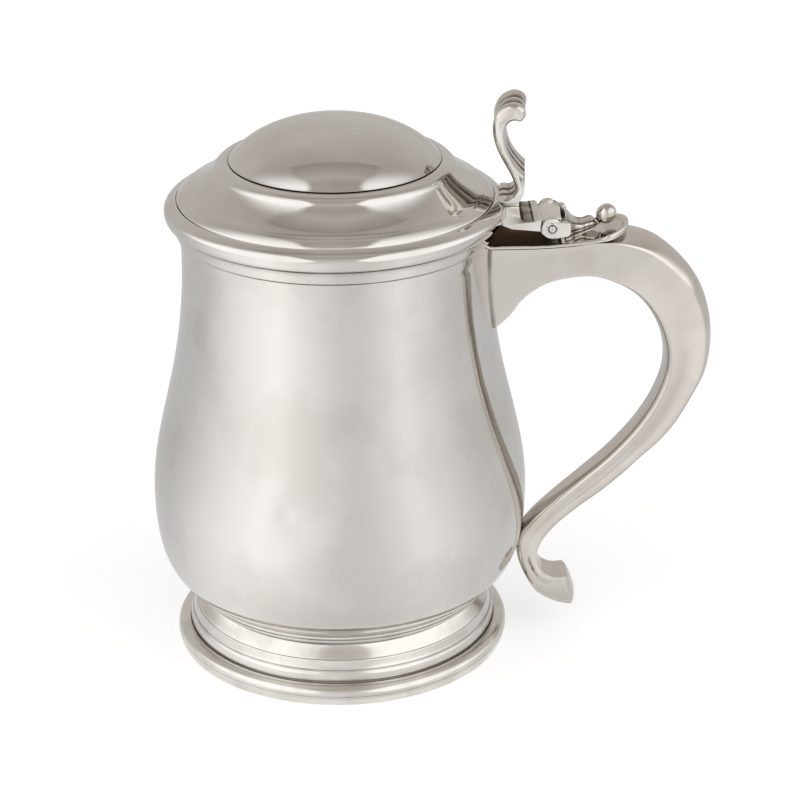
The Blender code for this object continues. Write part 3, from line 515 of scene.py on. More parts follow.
class Lathe:
    """A tree of geometry nodes that turns a profile about the body's axis."""

    # Points nearer than this, in millimetres, are merged where the skin closes.
    merge = 0.001

    def __init__(self) -> None:
        """Builds the tree and its named inputs."""
        self.tree = bpy.data.node_groups.new("lathe", "GeometryNodeTree")
        face = self.tree.interface
        inputs = {"Segments": "Int", "Planish depth": "Float", "Planish size": "Float", "Finish": "Material"}
        for name, kind in {"Profile": "Geometry", **inputs}.items():
            face.new_socket(name, in_out="INPUT", socket_type="NodeSocket" + kind)
        face.new_socket("Turned", in_out="OUTPUT", socket_type="NodeSocketGeometry")
        self.names = {item.name: item.identifier for item in face.items_tree if item.in_out == "INPUT"}
        self.wire()

    def wire(self) -> None:
        """Adds the nodes: a grid, rolled up round the axis, closed, planished and given its finish."""
        tree = self.tree
        given = add_node(tree, "NodeGroupInput")
        segments = given["Segments"]
        count = add_node(tree, "GeometryNodeAttributeDomainSize", {0: given["Profile"]})["Point Count"]
        columns = add_node(tree, MATHS, (segments, 1.0), operation="ADD")[0]
        links = {"Vertices X": columns, "Vertices Y": count}
        grid = add_node(tree, "GeometryNodeMeshGrid", links)["Mesh"]
        index = add_node(tree, "GeometryNodeInputIndex")["Index"]
        along = add_node(tree, MATHS, (index, count), operation="MODULO")[0]
        column = add_node(tree, MATHS, (index, count), operation="DIVIDE")[0]
        column = add_node(tree, MATHS, (column, 0.0), operation="FLOOR")[0]
        angle = add_node(tree, MATHS, (column, tau), operation="MULTIPLY")[0]
        angle = add_node(tree, MATHS, (angle, segments), operation="DIVIDE")[0]
        drawn = add_node(tree, "GeometryNodeInputPosition")["Position"]
        links = {"Geometry": given["Profile"], "Value": drawn, "Index": along}
        sample = add_node(tree, "GeometryNodeSampleIndex", links, data_type="FLOAT_VECTOR")[0]
        parts = add_node(tree, "ShaderNodeSeparateXYZ", (sample,))
        place = {"Z": parts["Z"]}
        for axis, wave in (("X", "COSINE"), ("Y", "SINE")):
            share = add_node(tree, MATHS, (angle, 0.0), operation=wave)[0]
            place[axis] = add_node(tree, MATHS, (parts["X"], share), operation="MULTIPLY")[0]
        links = {"Geometry": grid, "Position": add_node(tree, "ShaderNodeCombineXYZ", place)[0]}
        rolled = add_node(tree, "GeometryNodeSetPosition", links)[0]
        links = {"Geometry": rolled, "Distance": self.merge * MM}
        closed = add_node(tree, "GeometryNodeMergeByDistance", links)[0]
        whole = add_node(tree, "GeometryNodeRealizeInstances", (self.planish(closed, given),))[0]
        links = {"Geometry": whole, "Material": given["Finish"]}
        finished = add_node(tree, "GeometryNodeSetMaterial", links)[0]
        add_node(tree, "NodeGroupOutput", {"Turned": finished})

    def planish(self, geometry: NodeSocket, given: NodeOutputs) -> NodeSocket:
        """Pushes the surface in and out a little, as a planishing hammer leaves it.

        Args:
            geometry: The turned skin.
            given: Inputs of the tree.

        Returns:
            The hammered skin.
        """
        tree = self.tree
        scale = add_node(tree, MATHS, (1.0, given["Planish size"]), operation="DIVIDE")[0]
        noise = add_node(tree, NOISE, {"Scale": scale, "Detail": 0.0})["Fac"]
        centred = add_node(tree, MATHS, (noise, 0.5), operation="SUBTRACT")[0]
        height = add_node(tree, MATHS, (centred, given["Planish depth"]), operation="MULTIPLY")[0]
        normal = add_node(tree, "GeometryNodeInputNormal")["Normal"]
        push = add_node(tree, VECTOR, {0: normal, "Scale": height}, operation="SCALE")[0]
        return add_node(tree, "GeometryNodeSetPosition", {"Geometry": geometry, "Offset": push})[0]

    def turn(
        self,
        name: str,
        profile: Sequence[Point],
        finish: Material,
        segments: int = 168,
        planish: float = 0.0,
        planish_size: float = 18.0,
    ) -> Mesh:
        """Turns a profile.

        Args:
            name: Name of the mesh.
            profile: Radius and height of each point, in millimetres.
            finish: Material of the surface.
            segments: Steps round the axis.
            planish: Depth of the hammer marks.
            planish_size: Their size.

        Returns:
            The turned mesh, about the body's axis, in metres.
        """
        drawing = bpy.data.meshes.new(name + "_profile")
        drawing.from_pydata([(r * MM, 0.0, z * MM) for r, z in profile], [], [])
        holder = new_object(name + "_profile", drawing)
        turning = holder.modifiers.new("lathe", "NODES")
        turning.node_group = self.tree
        values = (segments, planish * MM, planish_size * MM, finish)
        for socket, value in zip(("Segments", "Planish depth", "Planish size", "Finish"), values):
            turning[self.names[socket]] = value
        mesh = plain_mesh(holder)
        holder.modifiers.remove(turning)
        bpy.data.objects.remove(holder)
        bpy.data.meshes.remove(drawing)
        mesh.name = name
        return mesh


def loft(rings: Sequence[Sequence[Spot]]) -> BMesh:
    """A skin over rings of equally many points, closed at both ends.

    Args:
        rings: Rings of points in millimetres.

    Returns:
        The open drawing, which the caller finishes.
    """
    shape = bmesh.new()
    loops = [[shape.verts.new(Vector(point) * MM) for point in ring] for ring in rings]
    count = len(rings[0])
    for lower, upper in zip(loops, loops[1:]):
        for index in range(count):
            after = (index + 1) % count
            shape.faces.new((lower[index], lower[after], upper[after], upper[index]))
    shape.faces.new(reversed(loops[0]))
    shape.faces.new(loops[-1])
    return shape


def slab(outline: Sequence[Point], near: float, far: float, ease: float) -> BMesh:
    """A flat outline in the plane of the handle, thickened across it, with eased edges.

    Args:
        outline: Points along and up, in millimetres.
        near: One side of the plate across the handle.
        far: The other side.
        ease: Radius of its edges.

    Returns:
        The open drawing.
    """
    shape = loft([[(x, near, z) for x, z in outline], [(x, far, z) for x, z in outline]])
    rims = [edge for edge in shape.edges if abs(edge.verts[0].co.y - edge.verts[1].co.y) < HAIR]
    bmesh.ops.bevel(
        shape, geom=rims, offset=ease * MM, segments=3, profile=0.5, affect="EDGES", clamp_overlap=True
    )
    return shape


def smooth_shading(mesh: Mesh, crease: Crease) -> None:
    """Shades a mesh smooth, apart from its sharp edges."""
    mesh.shade_smooth()
    mesh.set_sharp_from_angle(angle=radians(crease.value))


def mesh_of(name: str, shape: BMesh, crease: Crease) -> Mesh:
    """Finishes a drawing.

    Args:
        name: Name of the mesh.
        shape: Drawing, which is freed.
        crease: Kind of piece, for its sharp edges.

    Returns:
        The mesh, with its faces outwards.
    """
    bmesh.ops.remove_doubles(shape, verts=shape.verts, dist=HAIR)
    bmesh.ops.recalc_face_normals(shape, faces=shape.faces)
    mesh = bpy.data.meshes.new(name)
    shape.to_mesh(mesh)
    shape.free()
    smooth_shading(mesh, crease)
    return mesh


def joined(shapes: Sequence[BMesh]) -> BMesh:
    """Puts several drawings into the first one.

    Args:
        shapes: Drawings, of which all but the first are freed.

    Returns:
        The first drawing.
    """
    first, *others = shapes
    for other in others:
        spare = bpy.data.meshes.new("spare")
        bmesh.ops.recalc_face_normals(other, faces=other.faces)
        other.to_mesh(spare)
        other.free()
        first.from_mesh(spare)
        bpy.data.meshes.remove(spare)
    return first


def seam_shade(*lines: Spot) -> OxideAndShade:
    """Painted shade along level lines: dark lines at seams, gaps and steps.

    Args:
        *lines: Height, reach and strength of each line, in millimetres.

    Returns:
        Function from an array of points to the painted shade at each.
    """

    def at(points: np.ndarray) -> np.ndarray:
        """Painted shade at each point."""
        heights = points[:, 2] / MM
        oxide_and_shade = np.zeros(len(points))
        for height, reach, strength in lines:
            near = np.clip(1.0 - np.abs(heights - height) / reach, 0.0, 1.0)
            oxide_and_shade = np.maximum(oxide_and_shade, strength * near)
        return oxide_and_shade

    return at


# Curvature per millimetre at which oxide starts in hollows, and the span to full oxide.
CAST_HOLLOW: Point = (0.2, 0.8)
SHEET_HOLLOW: Point = (0.5, 1.5)
# Curvature per millimetre at which wear starts on edges, and the span to full wear.
EDGE_WEAR: Point = (0.7, 2.0)
# Share that a point keeps of its own value when the values are evened out over its neighbours.
OWN_SHARE = 0.8


def mark_form(mesh: Mesh, hollow: Point, extra: OxideAndShade | None = None) -> None:
    """Writes how hollow and how edged each point of a mesh is, for oxide, painted shade and wear.

    Args:
        mesh: Mesh that takes the attributes "recess" and "edge".
        hollow: Curvature per millimetre at which oxide starts, and the span to full oxide.
        extra: Further oxide and painted shade by place, from an array of points.
    """
    count = len(mesh.vertices)
    points = np.empty(count * 3)
    mesh.vertices.foreach_get("co", points)
    points = points.reshape(-1, 3)
    normals = np.empty(count * 3)
    mesh.vertices.foreach_get("normal", normals)
    normals = normals.reshape(-1, 3)
    ends = np.empty(len(mesh.edges) * 2, dtype=int)
    mesh.edges.foreach_get("vertices", ends)
    first, second = ends[0::2], ends[1::2]
    run = points[second] - points[first]
    bend = np.einsum("ij,ij->i", normals[second] - normals[first], run)
    bend /= np.maximum(np.einsum("ij,ij->i", run, run), 1e-12)
    low, high = np.zeros(count), np.zeros(count)
    for end in (first, second):
        np.minimum.at(low, end, bend)
        np.maximum.at(high, end, bend)
    recess = np.clip((-low * MM - hollow[0]) / hollow[1], 0.0, 1.0)
    edge = np.clip(high * MM - EDGE_WEAR[0], 0.0, EDGE_WEAR[1]) / EDGE_WEAR[1]
    for values in (recess, edge):
        total, shares = values.copy(), np.ones(count)
        for here, there in ((first, second), (second, first)):
            np.add.at(total, here, values[there])
            np.add.at(shares, here, 1.0)
        values[:] = np.maximum(values * OWN_SHARE, total / shares)
    if extra is not None:
        recess = np.maximum(recess, extra(points))
    for name, values in (("recess", recess), ("edge", edge)):
        layer = mesh.attributes.new(name, "FLOAT", "POINT")
        layer.data.foreach_set("value", values.astype(np.float32))


# Where oxide and painted shade gather near other metal: share of blocked directions at which they start, and
# their strength.
# The strength is reached when the share has grown by the span.
CRANNY_SPAN = 0.45
CRANNY_OXIDE_AND_SHADE: dict[str, Point] = {
    "thumbpiece": (0.14, 0.7),
    "hinge_standing_leaf": (0.38, 0.8),
    "hinge_ball": (0.42, 0.8),
    "hinge_pin": (0.5, 0.8),
    "lid_leaf": (0.6, 0.6),
    "handle_top_plate": (0.6, 0.6),
}


class Workbench:
    """Holds the frame, the finishes and the lathe, and puts finished pieces in place."""

    def __init__(self) -> None:
        """Loads the frame and makes the finishes."""
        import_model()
        self.first_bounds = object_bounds()
        low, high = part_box("rim_band")
        self.axis = Vector(((low.x + high.x) / 2, 0.0, 0.0))
        self.lathe = Lathe()
        self.pieces: list[tuple[Object, str]] = []
        self.finishes = {finish: finish.material() for finish in (POLISHED, WORN, HANDLED, CAST, INSIDE)}

    def turned(self, name: str, profile: Sequence[Point], finish: Silver = POLISHED, **options) -> Mesh:
        """Turns a profile and points its faces outwards.

        Args:
            name: Name of the mesh.
            profile: Radius and height of each point, in millimetres.
            finish: Silver of the surface.
            **options: Segments and planishing, as the lathe takes them.

        Returns:
            The turned mesh.
        """
        mesh = self.lathe.turn(name, profile, self.finishes[finish], **options)
        shape = bmesh.new()
        shape.from_mesh(mesh)
        bmesh.ops.recalc_face_normals(shape, faces=shape.faces)
        for face in shape.faces:
            face.material_index = 0
        shape.to_mesh(mesh)
        shape.free()
        mesh.materials.clear()
        mesh.materials.append(self.finishes[finish])
        smooth_shading(mesh, Crease.SHEET)
        return mesh

    def cut(self, mesh: Mesh, tool: Mesh) -> Mesh:
        """Cuts one mesh out of another.

        Args:
            mesh: Mesh to be cut.
            tool: Closed mesh that is taken away.

        Returns:
            What is left.
        """
        blank = new_object(mesh.name, mesh)
        cutter = new_object("cutter", tool)
        saw = blank.modifiers.new("cut", "BOOLEAN")
        saw.operation = "DIFFERENCE"
        saw.solver = "EXACT"
        saw.object = cutter
        left = plain_mesh(blank)
        left.name = mesh.name
        bpy.data.objects.remove(blank)
        bpy.data.objects.remove(cutter)
        left.set_sharp_from_angle(angle=radians(Crease.CUT.value))
        return left

    def paint_oxide_and_shade_in_crannies(self, reach: float = 2.5, lift: float = 0.05, rays: int = 16) -> None:
        """Adds oxide and painted shade to the cast pieces and the top plate wherever other metal stands
        close.

        Args:
            reach: How near the other metal is, in millimetres.
            lift: Start of each try above the surface, in millimetres.
            rays: Directions tried from each point.
        """
        points: list[Vector] = []
        faces: list[tuple[int, ...]] = []
        for piece, _ in self.pieces:
            start = len(points)
            points += [vertex.co.copy() for vertex in piece.data.vertices]
            faces += [tuple(start + index for index in face.vertices) for face in piece.data.polygons]
        tree = BVHTree.FromPolygons(points, faces)
        fan = []
        for ray in range(rays):
            rise = (ray + 0.5) / rays
            turn = ray * pi * (3.0 - sqrt(5.0))
            flat = sqrt(1.0 - rise * rise)
            fan.append(Vector((flat * cos(turn), flat * sin(turn), rise)))
        for piece, node in self.pieces:
            if node not in CRANNY_OXIDE_AND_SHADE:
                continue
            start_share, strength = CRANNY_OXIDE_AND_SHADE[node]
            layer = piece.data.attributes["recess"].data
            for vertex in piece.data.vertices:
                turn = vertex.normal.to_track_quat("Z", "X")
                start = vertex.co + vertex.normal * lift * MM
                hits = sum(tree.ray_cast(start, turn @ way, reach * MM)[0] is not None for way in fan)
                # Painted shade, with oxide: the more directions that other metal blocks, the darker the
                # point.
                shade = min(1.0, max(0.0, (hits / rays - start_share) / CRANNY_SPAN)) * strength
                layer[vertex.index].value = max(layer[vertex.index].value, shade)

    def fit(
        self,
        mesh: Mesh,
        node: str,
        body: Body,
        slot: Slot,
        finish: Silver | None = None,
        oxide_and_shade: OxideAndShade | None = None,
    ) -> None:
        """Puts a finished mesh in the place of a node of the frame.

        Args:
            mesh: Mesh about the body's axis, in metres.
            node: Node of the frame that it stands for.
            body: Body that carries it.
            slot: Material slot of the record.
            finish: Silver of the piece, where the mesh has none yet.
            oxide_and_shade: Further oxide and painted shade by place.
        """
        mark_form(mesh, CAST_HOLLOW if slot is Slot.CAST else SHEET_HOLLOW, oxide_and_shade)
        mesh.transform(Matrix.Translation(self.axis))
        if finish is not None:
            mesh.materials.clear()
            mesh.materials.append(self.finishes[finish])
        piece = new_object(mesh.name, mesh)
        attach(piece, body.value)
        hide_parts(node)
        self.pieces.append((piece, node))
        LOG.info("%s stands for %s with %d faces", piece.name, node, len(mesh.polygons))


@dataclass
class Vessel:
    """The raised body and the moulding round its lip."""

    rim_height: float = 145.5
    rim_radius: float = 49.0
    lip_length: float = 6.0
    neck_draw: float = 0.25
    neck_drop: float = 10.5
    belly_radius: float = 60.6
    belly_height: float = 53.0
    seat_radius: float = 47.0
    seat_height: float = 20.0
    bottom_sag: float = 7.0
    bottom_flat: float = 26.0
    wall: float = 0.9
    neck_ease: float = 0.49
    belly_ease: float = 0.29
    belly_under_ease: float = 0.849
    seat_tangent: Point = (5.6, 6.5)
    band_height: float = 4.4
    band_projection: float = 1.0
    planish: float = 0.07
    # Small dents: azimuth from the camera's side in degrees, height, radius and depth.
    dents: tuple[tuple[float, float, float, float], ...] = (
        (-12.5, 67.0, 12.0, 0.6),
        (-16.6, 68.8, 2.6, 0.36),
        (-21.0, 57.0, 7.0, 0.25),
        (8.6, 94.4, 2.2, 0.2),
        (13.0, 86.0, 9.0, 0.16),
    )
    # A dent has faded out at this many times its radius.
    dent_fade: float = 2.5

    def outline(self, neck_steps: int = 56, belly_steps: int = 56, bottom_steps: int = 14) -> Outline:
        """Outside of the body, from the rim down to the middle of its bottom.

        Args:
            neck_steps: Steps from the neck to the belly.
            belly_steps: Steps on to the seat.
            bottom_steps: Steps across the bottom.

        Returns:
            The profile.
        """
        rim, lip = self.rim_radius, self.rim_height - self.lip_length
        throat, throat_height = neck = (rim - self.neck_draw, self.rim_height - self.neck_drop)
        wide, wide_height = belly = (self.belly_radius, self.belly_height)
        low, low_height = seat = (self.seat_radius, self.seat_height)
        span, under = throat_height - wide_height, wide_height - low_height
        tuck, tuck_height = self.seat_tangent
        sag = low_height - self.bottom_sag
        points = [(rim, self.rim_height)]
        points += [(rim, lip + step) for step in (2.3, 1.9, 1.6, 1.2, 0.6, 0.0)]
        points += bezier((rim, lip - 0.4), (rim, lip - 2.0), (throat, lip - 2.5), neck, 6)
        fall = (throat, throat_height - span * self.neck_ease)
        points += bezier(neck, fall, (wide, wide_height + span * self.belly_ease), belly, neck_steps)[1:]
        turn = (wide, wide_height - under * self.belly_under_ease)
        points += bezier(belly, turn, (low + tuck, low_height + tuck_height), seat, belly_steps)[1:]
        turn = (low - tuck, low_height - tuck_height)
        points += bezier(seat, turn, (self.bottom_flat, sag), (0.0, sag), bottom_steps)[1:]
        return points

    def build(self, bench: Workbench) -> None:
        """Builds the body and its lip moulding.

        Args:
            bench: The workbench.
        """
        outside = self.outline()
        inside = offset(outside, -self.wall)
        inside[0] = (self.rim_radius - self.wall, self.rim_height)
        inside[-1] = (0.0, inside[-1][1])
        profile = list(reversed(inside)) + outside
        mesh = bench.turned("raised_body", profile, segments=240, planish=self.planish)
        self.dent(mesh)
        mesh.materials.append(bench.finishes[INSIDE])
        for face in mesh.polygons:
            outward = Vector((face.center.x, face.center.y, 0.0))
            bottom = face.normal.z > 0.5 and face.center.z < self.seat_height * MM
            face.material_index = 1 if bottom or face.normal.dot(outward) < 0.0 else 0
        low = self.rim_height - self.band_height
        # Painted shade: a dark line on the body just under the lip moulding.
        seam_shade_lines = seam_shade((low, 0.5, 0.9))
        bench.fit(mesh, "vessel_body", Body.VESSEL, Slot.POLISHED, oxide_and_shade=seam_shade_lines)
        band = bench.turned("lip_moulding", self.band())
        # Painted shadow on the moulding: a dark line at its top under the rim wire, and one along its lower
        # edge.
        seam_shade_lines = seam_shade((self.rim_height - 0.1, 0.8, 1.0), (low, 0.45, 0.9))
        bench.fit(band, "rim_band", Body.VESSEL, Slot.POLISHED, oxide_and_shade=seam_shade_lines)

    def dent(self, mesh: Mesh) -> None:
        """Presses a few shallow dents into the wall.

        Args:
            mesh: Mesh of the body.
        """
        for azimuth, height, radius, depth in self.dents:
            turn = radians(azimuth)
            reach = radius_at(self.outline(), height)
            middle = Vector((sin(turn) * reach, -cos(turn) * reach, height)) * MM
            for vertex in mesh.vertices:
                share = (vertex.co - middle).length / (radius * MM)
                if share < self.dent_fade:
                    inward = Vector((-vertex.co.x, -vertex.co.y, 0.0)).normalized()
                    vertex.co += inward * depth * MM * exp(-2.0 * share * share)

    def band(self) -> Outline:
        """Profile of the lip moulding: a flat band with a rounded top and a hollow lower edge.

        Returns:
            The profile.
        """
        inner = self.rim_radius + 0.05
        outer = self.rim_radius + 0.3 + self.band_projection
        top, low = self.rim_height, self.rim_height - self.band_height
        points = [(inner, top)]
        points += bezier((outer - 0.6, top), (outer - 0.2, top), (outer, top - 0.2), (outer, top - 0.6), 6)
        edge = (outer - 0.5, low + 0.35)
        points += bezier((outer, top - 2.5), (outer, low + 0.9), (outer - 0.1, low + 0.5), edge, 8)
        edge = (outer - 0.6, low + 0.3)
        points += bezier(edge, (outer - 0.9, low + 0.25), (inner + 0.1, low + 0.1), (inner, low), 5)
        return [*points, (inner, top)]


@dataclass
class Foot:
    """The spool under the body and the base moulding that the tankard stands on."""

    top_radius: float = 49.0
    top_height: float = 21.6
    collar_radius: float = 47.8
    collar_base: float = 18.9
    neck_radius: float = 45.3
    neck_height: float = 17.2
    step_radius: float = 48.3
    step_height: float = 13.2
    fillet_radius: float = 50.35
    fillet_top: float = 8.2
    fillet_base: float = 6.25
    wall: float = 1.2
    base_radius: float = 54.0
    base_height: float = 6.1
    base_inner: float = 48.9
    groove_width: float = 0.25
    groove_shade_strength: float = 0.7

    def build(self, bench: Workbench) -> None:
        """Builds both turned pieces.

        Args:
            bench: The workbench.
        """
        spool = bench.turned("foot_spool_moulding", self.spool())
        # Painted shade: dark lines at the top of the collar, between its reeds, under it, at the step and at
        # the foot of the fillet.
        seam_shade_lines = seam_shade(
            (self.top_height, 0.3, 0.4),
            (lerp(self.top_height, self.collar_base, 0.47), 0.2, 0.4),
            (self.collar_base, 0.4, 0.4),
            (self.step_height, 0.2, 0.35),
            (self.fillet_base, 0.2, 0.6),
        )
        bench.fit(spool, "foot_spool", Body.VESSEL, Slot.POLISHED, WORN, seam_shade_lines)
        base = bench.turned("foot_base_moulding", self.base())

        # Painted shade in the groove where the spool meets the base.
        bench.fit(base, "foot_base_ring", Body.VESSEL, Slot.POLISHED, WORN, self.groove_shade)

    def groove_shade(self, points: np.ndarray) -> np.ndarray:
        """Painted shade in the groove between the spool and the base."""
        reach = np.hypot(points[:, 0], points[:, 1]) / MM - self.fillet_radius
        return np.clip(1.0 - np.abs(reach) / self.groove_width, 0.0, self.groove_shade_strength)

    def spool(self) -> Outline:
        """A reeded collar under the body, a narrow neck, a spreading hollow with a step, and a fillet.

        Returns:
            The profile.
        """
        top, rim = self.top_height, self.top_radius
        low, under = self.collar_base, self.collar_radius
        neck, waist = self.neck_height, self.neck_radius
        step, out = self.step_height, self.step_radius
        fillet, edge, base = self.fillet_top, self.fillet_radius, self.fillet_base
        points = [(rim - 1.2, top - 0.3), (rim - 0.3, top + 0.14)]
        for first, last, swell in ((0.0, 0.44, 0.24), (0.5, 1.0, 0.26)):
            start = (lerp(rim, under, first), lerp(top, low, first))
            end = (lerp(rim, under, last), lerp(top, low, last))
            points += reed(start, end, swell, 7)
        points += [(under - 0.3, low - 0.15), (lerp(under, waist, 0.6), lerp(low, neck, 0.4))]
        end = (out, step + 0.2)
        points += bezier((waist, neck), (waist + 0.35, neck - 1.0), (out - 1.0, step + 1.4), end, 18)
        points += reed((out + 0.1, step + 0.1), (out + 0.2, step - 0.25), -0.1, 4)
        start, end = (out + 0.25, step - 0.4), (out + 1.2, fillet + 1.9)
        points += bezier(start, (out + 0.5, step - 1.2), (out + 0.8, fillet + 2.6), end, 12)
        points += reed((out + 1.25, fillet + 1.8), (out + 1.4, fillet + 1.55), 0.05, 4)
        start, end = (out + 1.5, fillet + 1.4), (edge - 0.02, fillet)
        points += bezier(start, (edge - 0.35, fillet + 1.0), (edge - 0.05, fillet + 0.6), end, 8)
        points += reed((edge, fillet - 0.15), (edge, base + 0.3), 0.1)
        points += [(edge - 0.2, base + 0.05), (edge - 0.5, base)]
        inner, wall = edge - self.wall, self.wall
        points += [(inner, base), (inner - 0.2, fillet), (out - wall, step - 1.0)]
        points += [(waist - wall, neck - 0.4), (under - wall * 2.2, low + 0.2), points[0]]
        return points

    def base(self) -> Outline:
        """A flat top, a torus, a soft line and a plain lower band.

        Returns:
            The profile.
        """
        top, rim = self.base_height, self.base_radius
        edge, inner = self.fillet_radius, self.base_inner
        points = [(edge - 0.6, top - 0.2), (edge + 0.1, top - 0.2)]
        start, end = (edge + 0.2, top - 0.1), (rim - 1.3, top - 0.2)
        points += bezier(start, (edge + 0.6, top + 0.05), (rim - 2.0, top), end, 8)
        points += [(rim - 1.1, top - 0.32)]
        start, end = (rim - 0.95, top - 0.42), (rim + 0.58, top - 2.7)
        points += bezier(start, (rim, top - 0.9), (rim + 0.55, top - 1.7), end, 14)
        points += reed((rim + 0.57, top - 2.85), (rim + 0.58, top - 3.15), -0.02, 4)
        start, end = (rim + 0.59, top - 3.2), (rim + 0.1, 0.35)
        points += bezier(start, (rim + 0.6, top - 4.4), (rim + 0.3, 0.9), end, 10)
        points += bezier((rim + 0.05, 0.2), (rim, 0.05), (rim - 0.1, 0.0), (rim - 0.4, 0.0), 4)
        points += [(inner + 0.8, 0.0), (inner, 0.8), (inner, top - 0.2)]
        return [*points, points[0]]


# Distance in millimetres between a cutter's skin and the metal that it stands for.
CUT_GAP = 0.05


@dataclass
class Lid:
    """The stepped dome, its rim wire and the locating ring under it."""

    base: float = 145.8
    flange_radius: float = 53.7
    flange_height: float = 7.0
    flange_equator: float = 3.1
    flange_web: float = 1.6
    cover_radius: float = 49.6
    cover_wall: float = 0.9
    dome_radius: float = 33.0
    dome_rise: float = 11.1
    dome_step: float = 1.4
    dome_bow: float = 8.9
    dome_roll: float = 3.2
    seam_depth: float = 0.5
    shoulder_radius: float = 38.0
    shoulder_drop: float = 2.4
    ogee_radius: float = 45.8
    ogee_drop: float = 6.0
    cover_drop: float = 3.1
    line_radius: float = 47.4
    line_depth: float = 0.09
    line_width: float = 0.3
    seam: float = 0.28
    bezel_radius: float = 47.2
    bezel_wall: float = 1.0
    bezel_depth: float = 4.3
    planish: float = 0.05

    @property
    def edge_height(self) -> float:
        """Height of the cover's edge."""
        return self.base + self.flange_height

    def build(self, bench: Workbench) -> None:
        """Builds the three turned pieces of the lid.

        Args:
            bench: The workbench.
        """
        outside = self.cover()
        inside = offset(self.cover(fine=False), -self.cover_wall)
        inside[0] = (0.0, inside[0][1])
        edge = self.edge_height - self.cover_wall * 1.3
        inside[-1] = (self.cover_radius - self.cover_wall, edge)
        profile = outside + [(self.cover_radius, edge)] + list(reversed(inside))
        mesh = bench.turned("domed_cover", profile, segments=180, planish=self.planish)
        mesh.materials.append(bench.finishes[INSIDE])
        for face in mesh.polygons:
            face.material_index = 1 if face.normal.z < -0.05 else 0
        # Painted shade: a dark line on the cover along its seam with the rim wire.
        bench.fit(mesh, "lid_cover", Body.LID, Slot.POLISHED, oxide_and_shade=seam_shade((edge + 0.45, 0.75, 1.0)))
        wire = bench.turned("lid_rim_wire", self.flange(edge))
        # Painted shadow: a dark line round the foot of the rim wire, where it overhangs the lip moulding.
        seam_shade_lines = seam_shade((self.base + 0.25, 0.75, 1.0))
        bench.fit(wire, "lid_flange", Body.LID, Slot.POLISHED, oxide_and_shade=seam_shade_lines)
        bench.fit(bench.turned("locating_ring", self.bezel(), INSIDE), "lid_bezel", Body.LID, Slot.POLISHED)

    def cover(self, fine: bool = True) -> Outline:
        """Outside of the cover, from the top of the dome to its edge.

        Args:
            fine: Whether it has its seam, its line and small steps.

        Returns:
            The profile.
        """
        foot, foot_height = ogee = (self.ogee_radius, self.edge_height + self.cover_drop)
        brow, brow_height = shoulder = (self.shoulder_radius, foot_height + self.ogee_drop)
        seam = brow_height + self.shoulder_drop
        step = seam + self.dome_step
        rounds = 44 if fine else 12
        rim = self.dome_radius
        points = []
        for index in range(rounds + 1):
            share = index / rounds
            drop = self.dome_bow * share**2 + self.dome_roll * share**6
            points.append((rim * share, step + self.dome_rise - drop))
        if fine:
            start, end = points[-1], (rim + 0.05, seam + 0.2)
            points += bezier(start, (rim + 0.15, start[1] - 0.17), (rim + 0.2, seam + 0.3), end, 4)[1:]
            sunk = rim - self.seam_depth * 0.5
            points += [(sunk, seam + 0.1), (sunk, seam - 0.1)]
        reach, run = brow - rim, foot - brow
        start = (rim + 0.15, seam - 0.05)
        turn = (brow - reach * 0.16, brow_height + self.shoulder_drop * 0.5)
        points += bezier(start, (rim + reach * 0.6, seam + 0.2), turn, shoulder, 14 if fine else 5)
        fall = (brow + run * 0.2, brow_height - self.ogee_drop * 0.3)
        turn = (foot - run * 0.36, foot_height + self.ogee_drop * 0.23)
        points += bezier(shoulder, fall, turn, ogee, 16 if fine else 5)[1:]
        edge = (self.cover_radius, self.edge_height)
        fall = (lerp(foot, edge[0], 0.47), foot_height - self.cover_drop * 0.29)
        turn = (lerp(foot, edge[0], 0.79), foot_height - self.cover_drop * 0.68)
        last = bezier(ogee, fall, turn, edge, 16 if fine else 5)[1:]
        if fine:
            half = self.line_width / 2
            last = [(r, z - self.line_depth if abs(r - self.line_radius) < half else z) for r, z in last]
        return points + last

    def flange(self, edge: float) -> Outline:
        """Profile of the rim wire, with a fine seam against the cover.

        Args:
            edge: Height of the cover's lower edge.

        Returns:
            The profile.
        """
        lip = self.cover_radius + self.seam
        out = self.flange_radius
        overhang = out - lip
        equator = self.base + self.flange_equator
        high = self.edge_height
        shelf = edge - 0.1
        points = [(lip, high - 0.7)]
        start, end = (lip, high - 0.55), (lip + 0.3, high - 0.34)
        points += bezier(start, (lip + 0.02, high - 0.4), (lip + 0.1, high - 0.34), end, 4)
        start, widest = (lip + 0.4, high - 0.36), (out, equator)
        points += bezier(start, (lip + overhang * 0.53, high - 1.0), (out, equator + 1.9), widest, 18)
        turn, end = (out - overhang * 0.2, self.base), (out - overhang * 0.6, self.base)
        points += bezier(widest, (out, self.base + self.flange_equator * 0.5), turn, end, 14)[1:]
        bore = self.bezel_radius + 0.1
        web = self.cover_radius - self.cover_wall
        points += [(bore, self.base), (bore, self.base + self.flange_web), (web, self.base + self.flange_web)]
        return [*points, (web, shelf), (lip, shelf), points[0]]

    def bezel(self) -> Outline:
        """Profile of the locating ring.

        Returns:
            The profile.
        """
        outer, inner = self.bezel_radius, self.bezel_radius - self.bezel_wall
        low, high = self.base - self.bezel_depth, self.base + 2.0
        start = (outer, low + 0.7)
        points = [(outer, high), start]
        points += bezier(start, (outer, low + 0.2), (outer - 0.2, low), (outer - 0.5, low), 5)[1:]
        points += [(inner + 0.2, low), (inner, low + 0.2), (inner, high)]
        return [*points, points[0]]

    def space(self, bench: Workbench) -> Mesh:
        """Cutter for what stands on the lid: all that the cover and the rim wire fill, and a hair more.

        Args:
            bench: Workbench with the lathe.

        Returns:
            The cutter.
        """
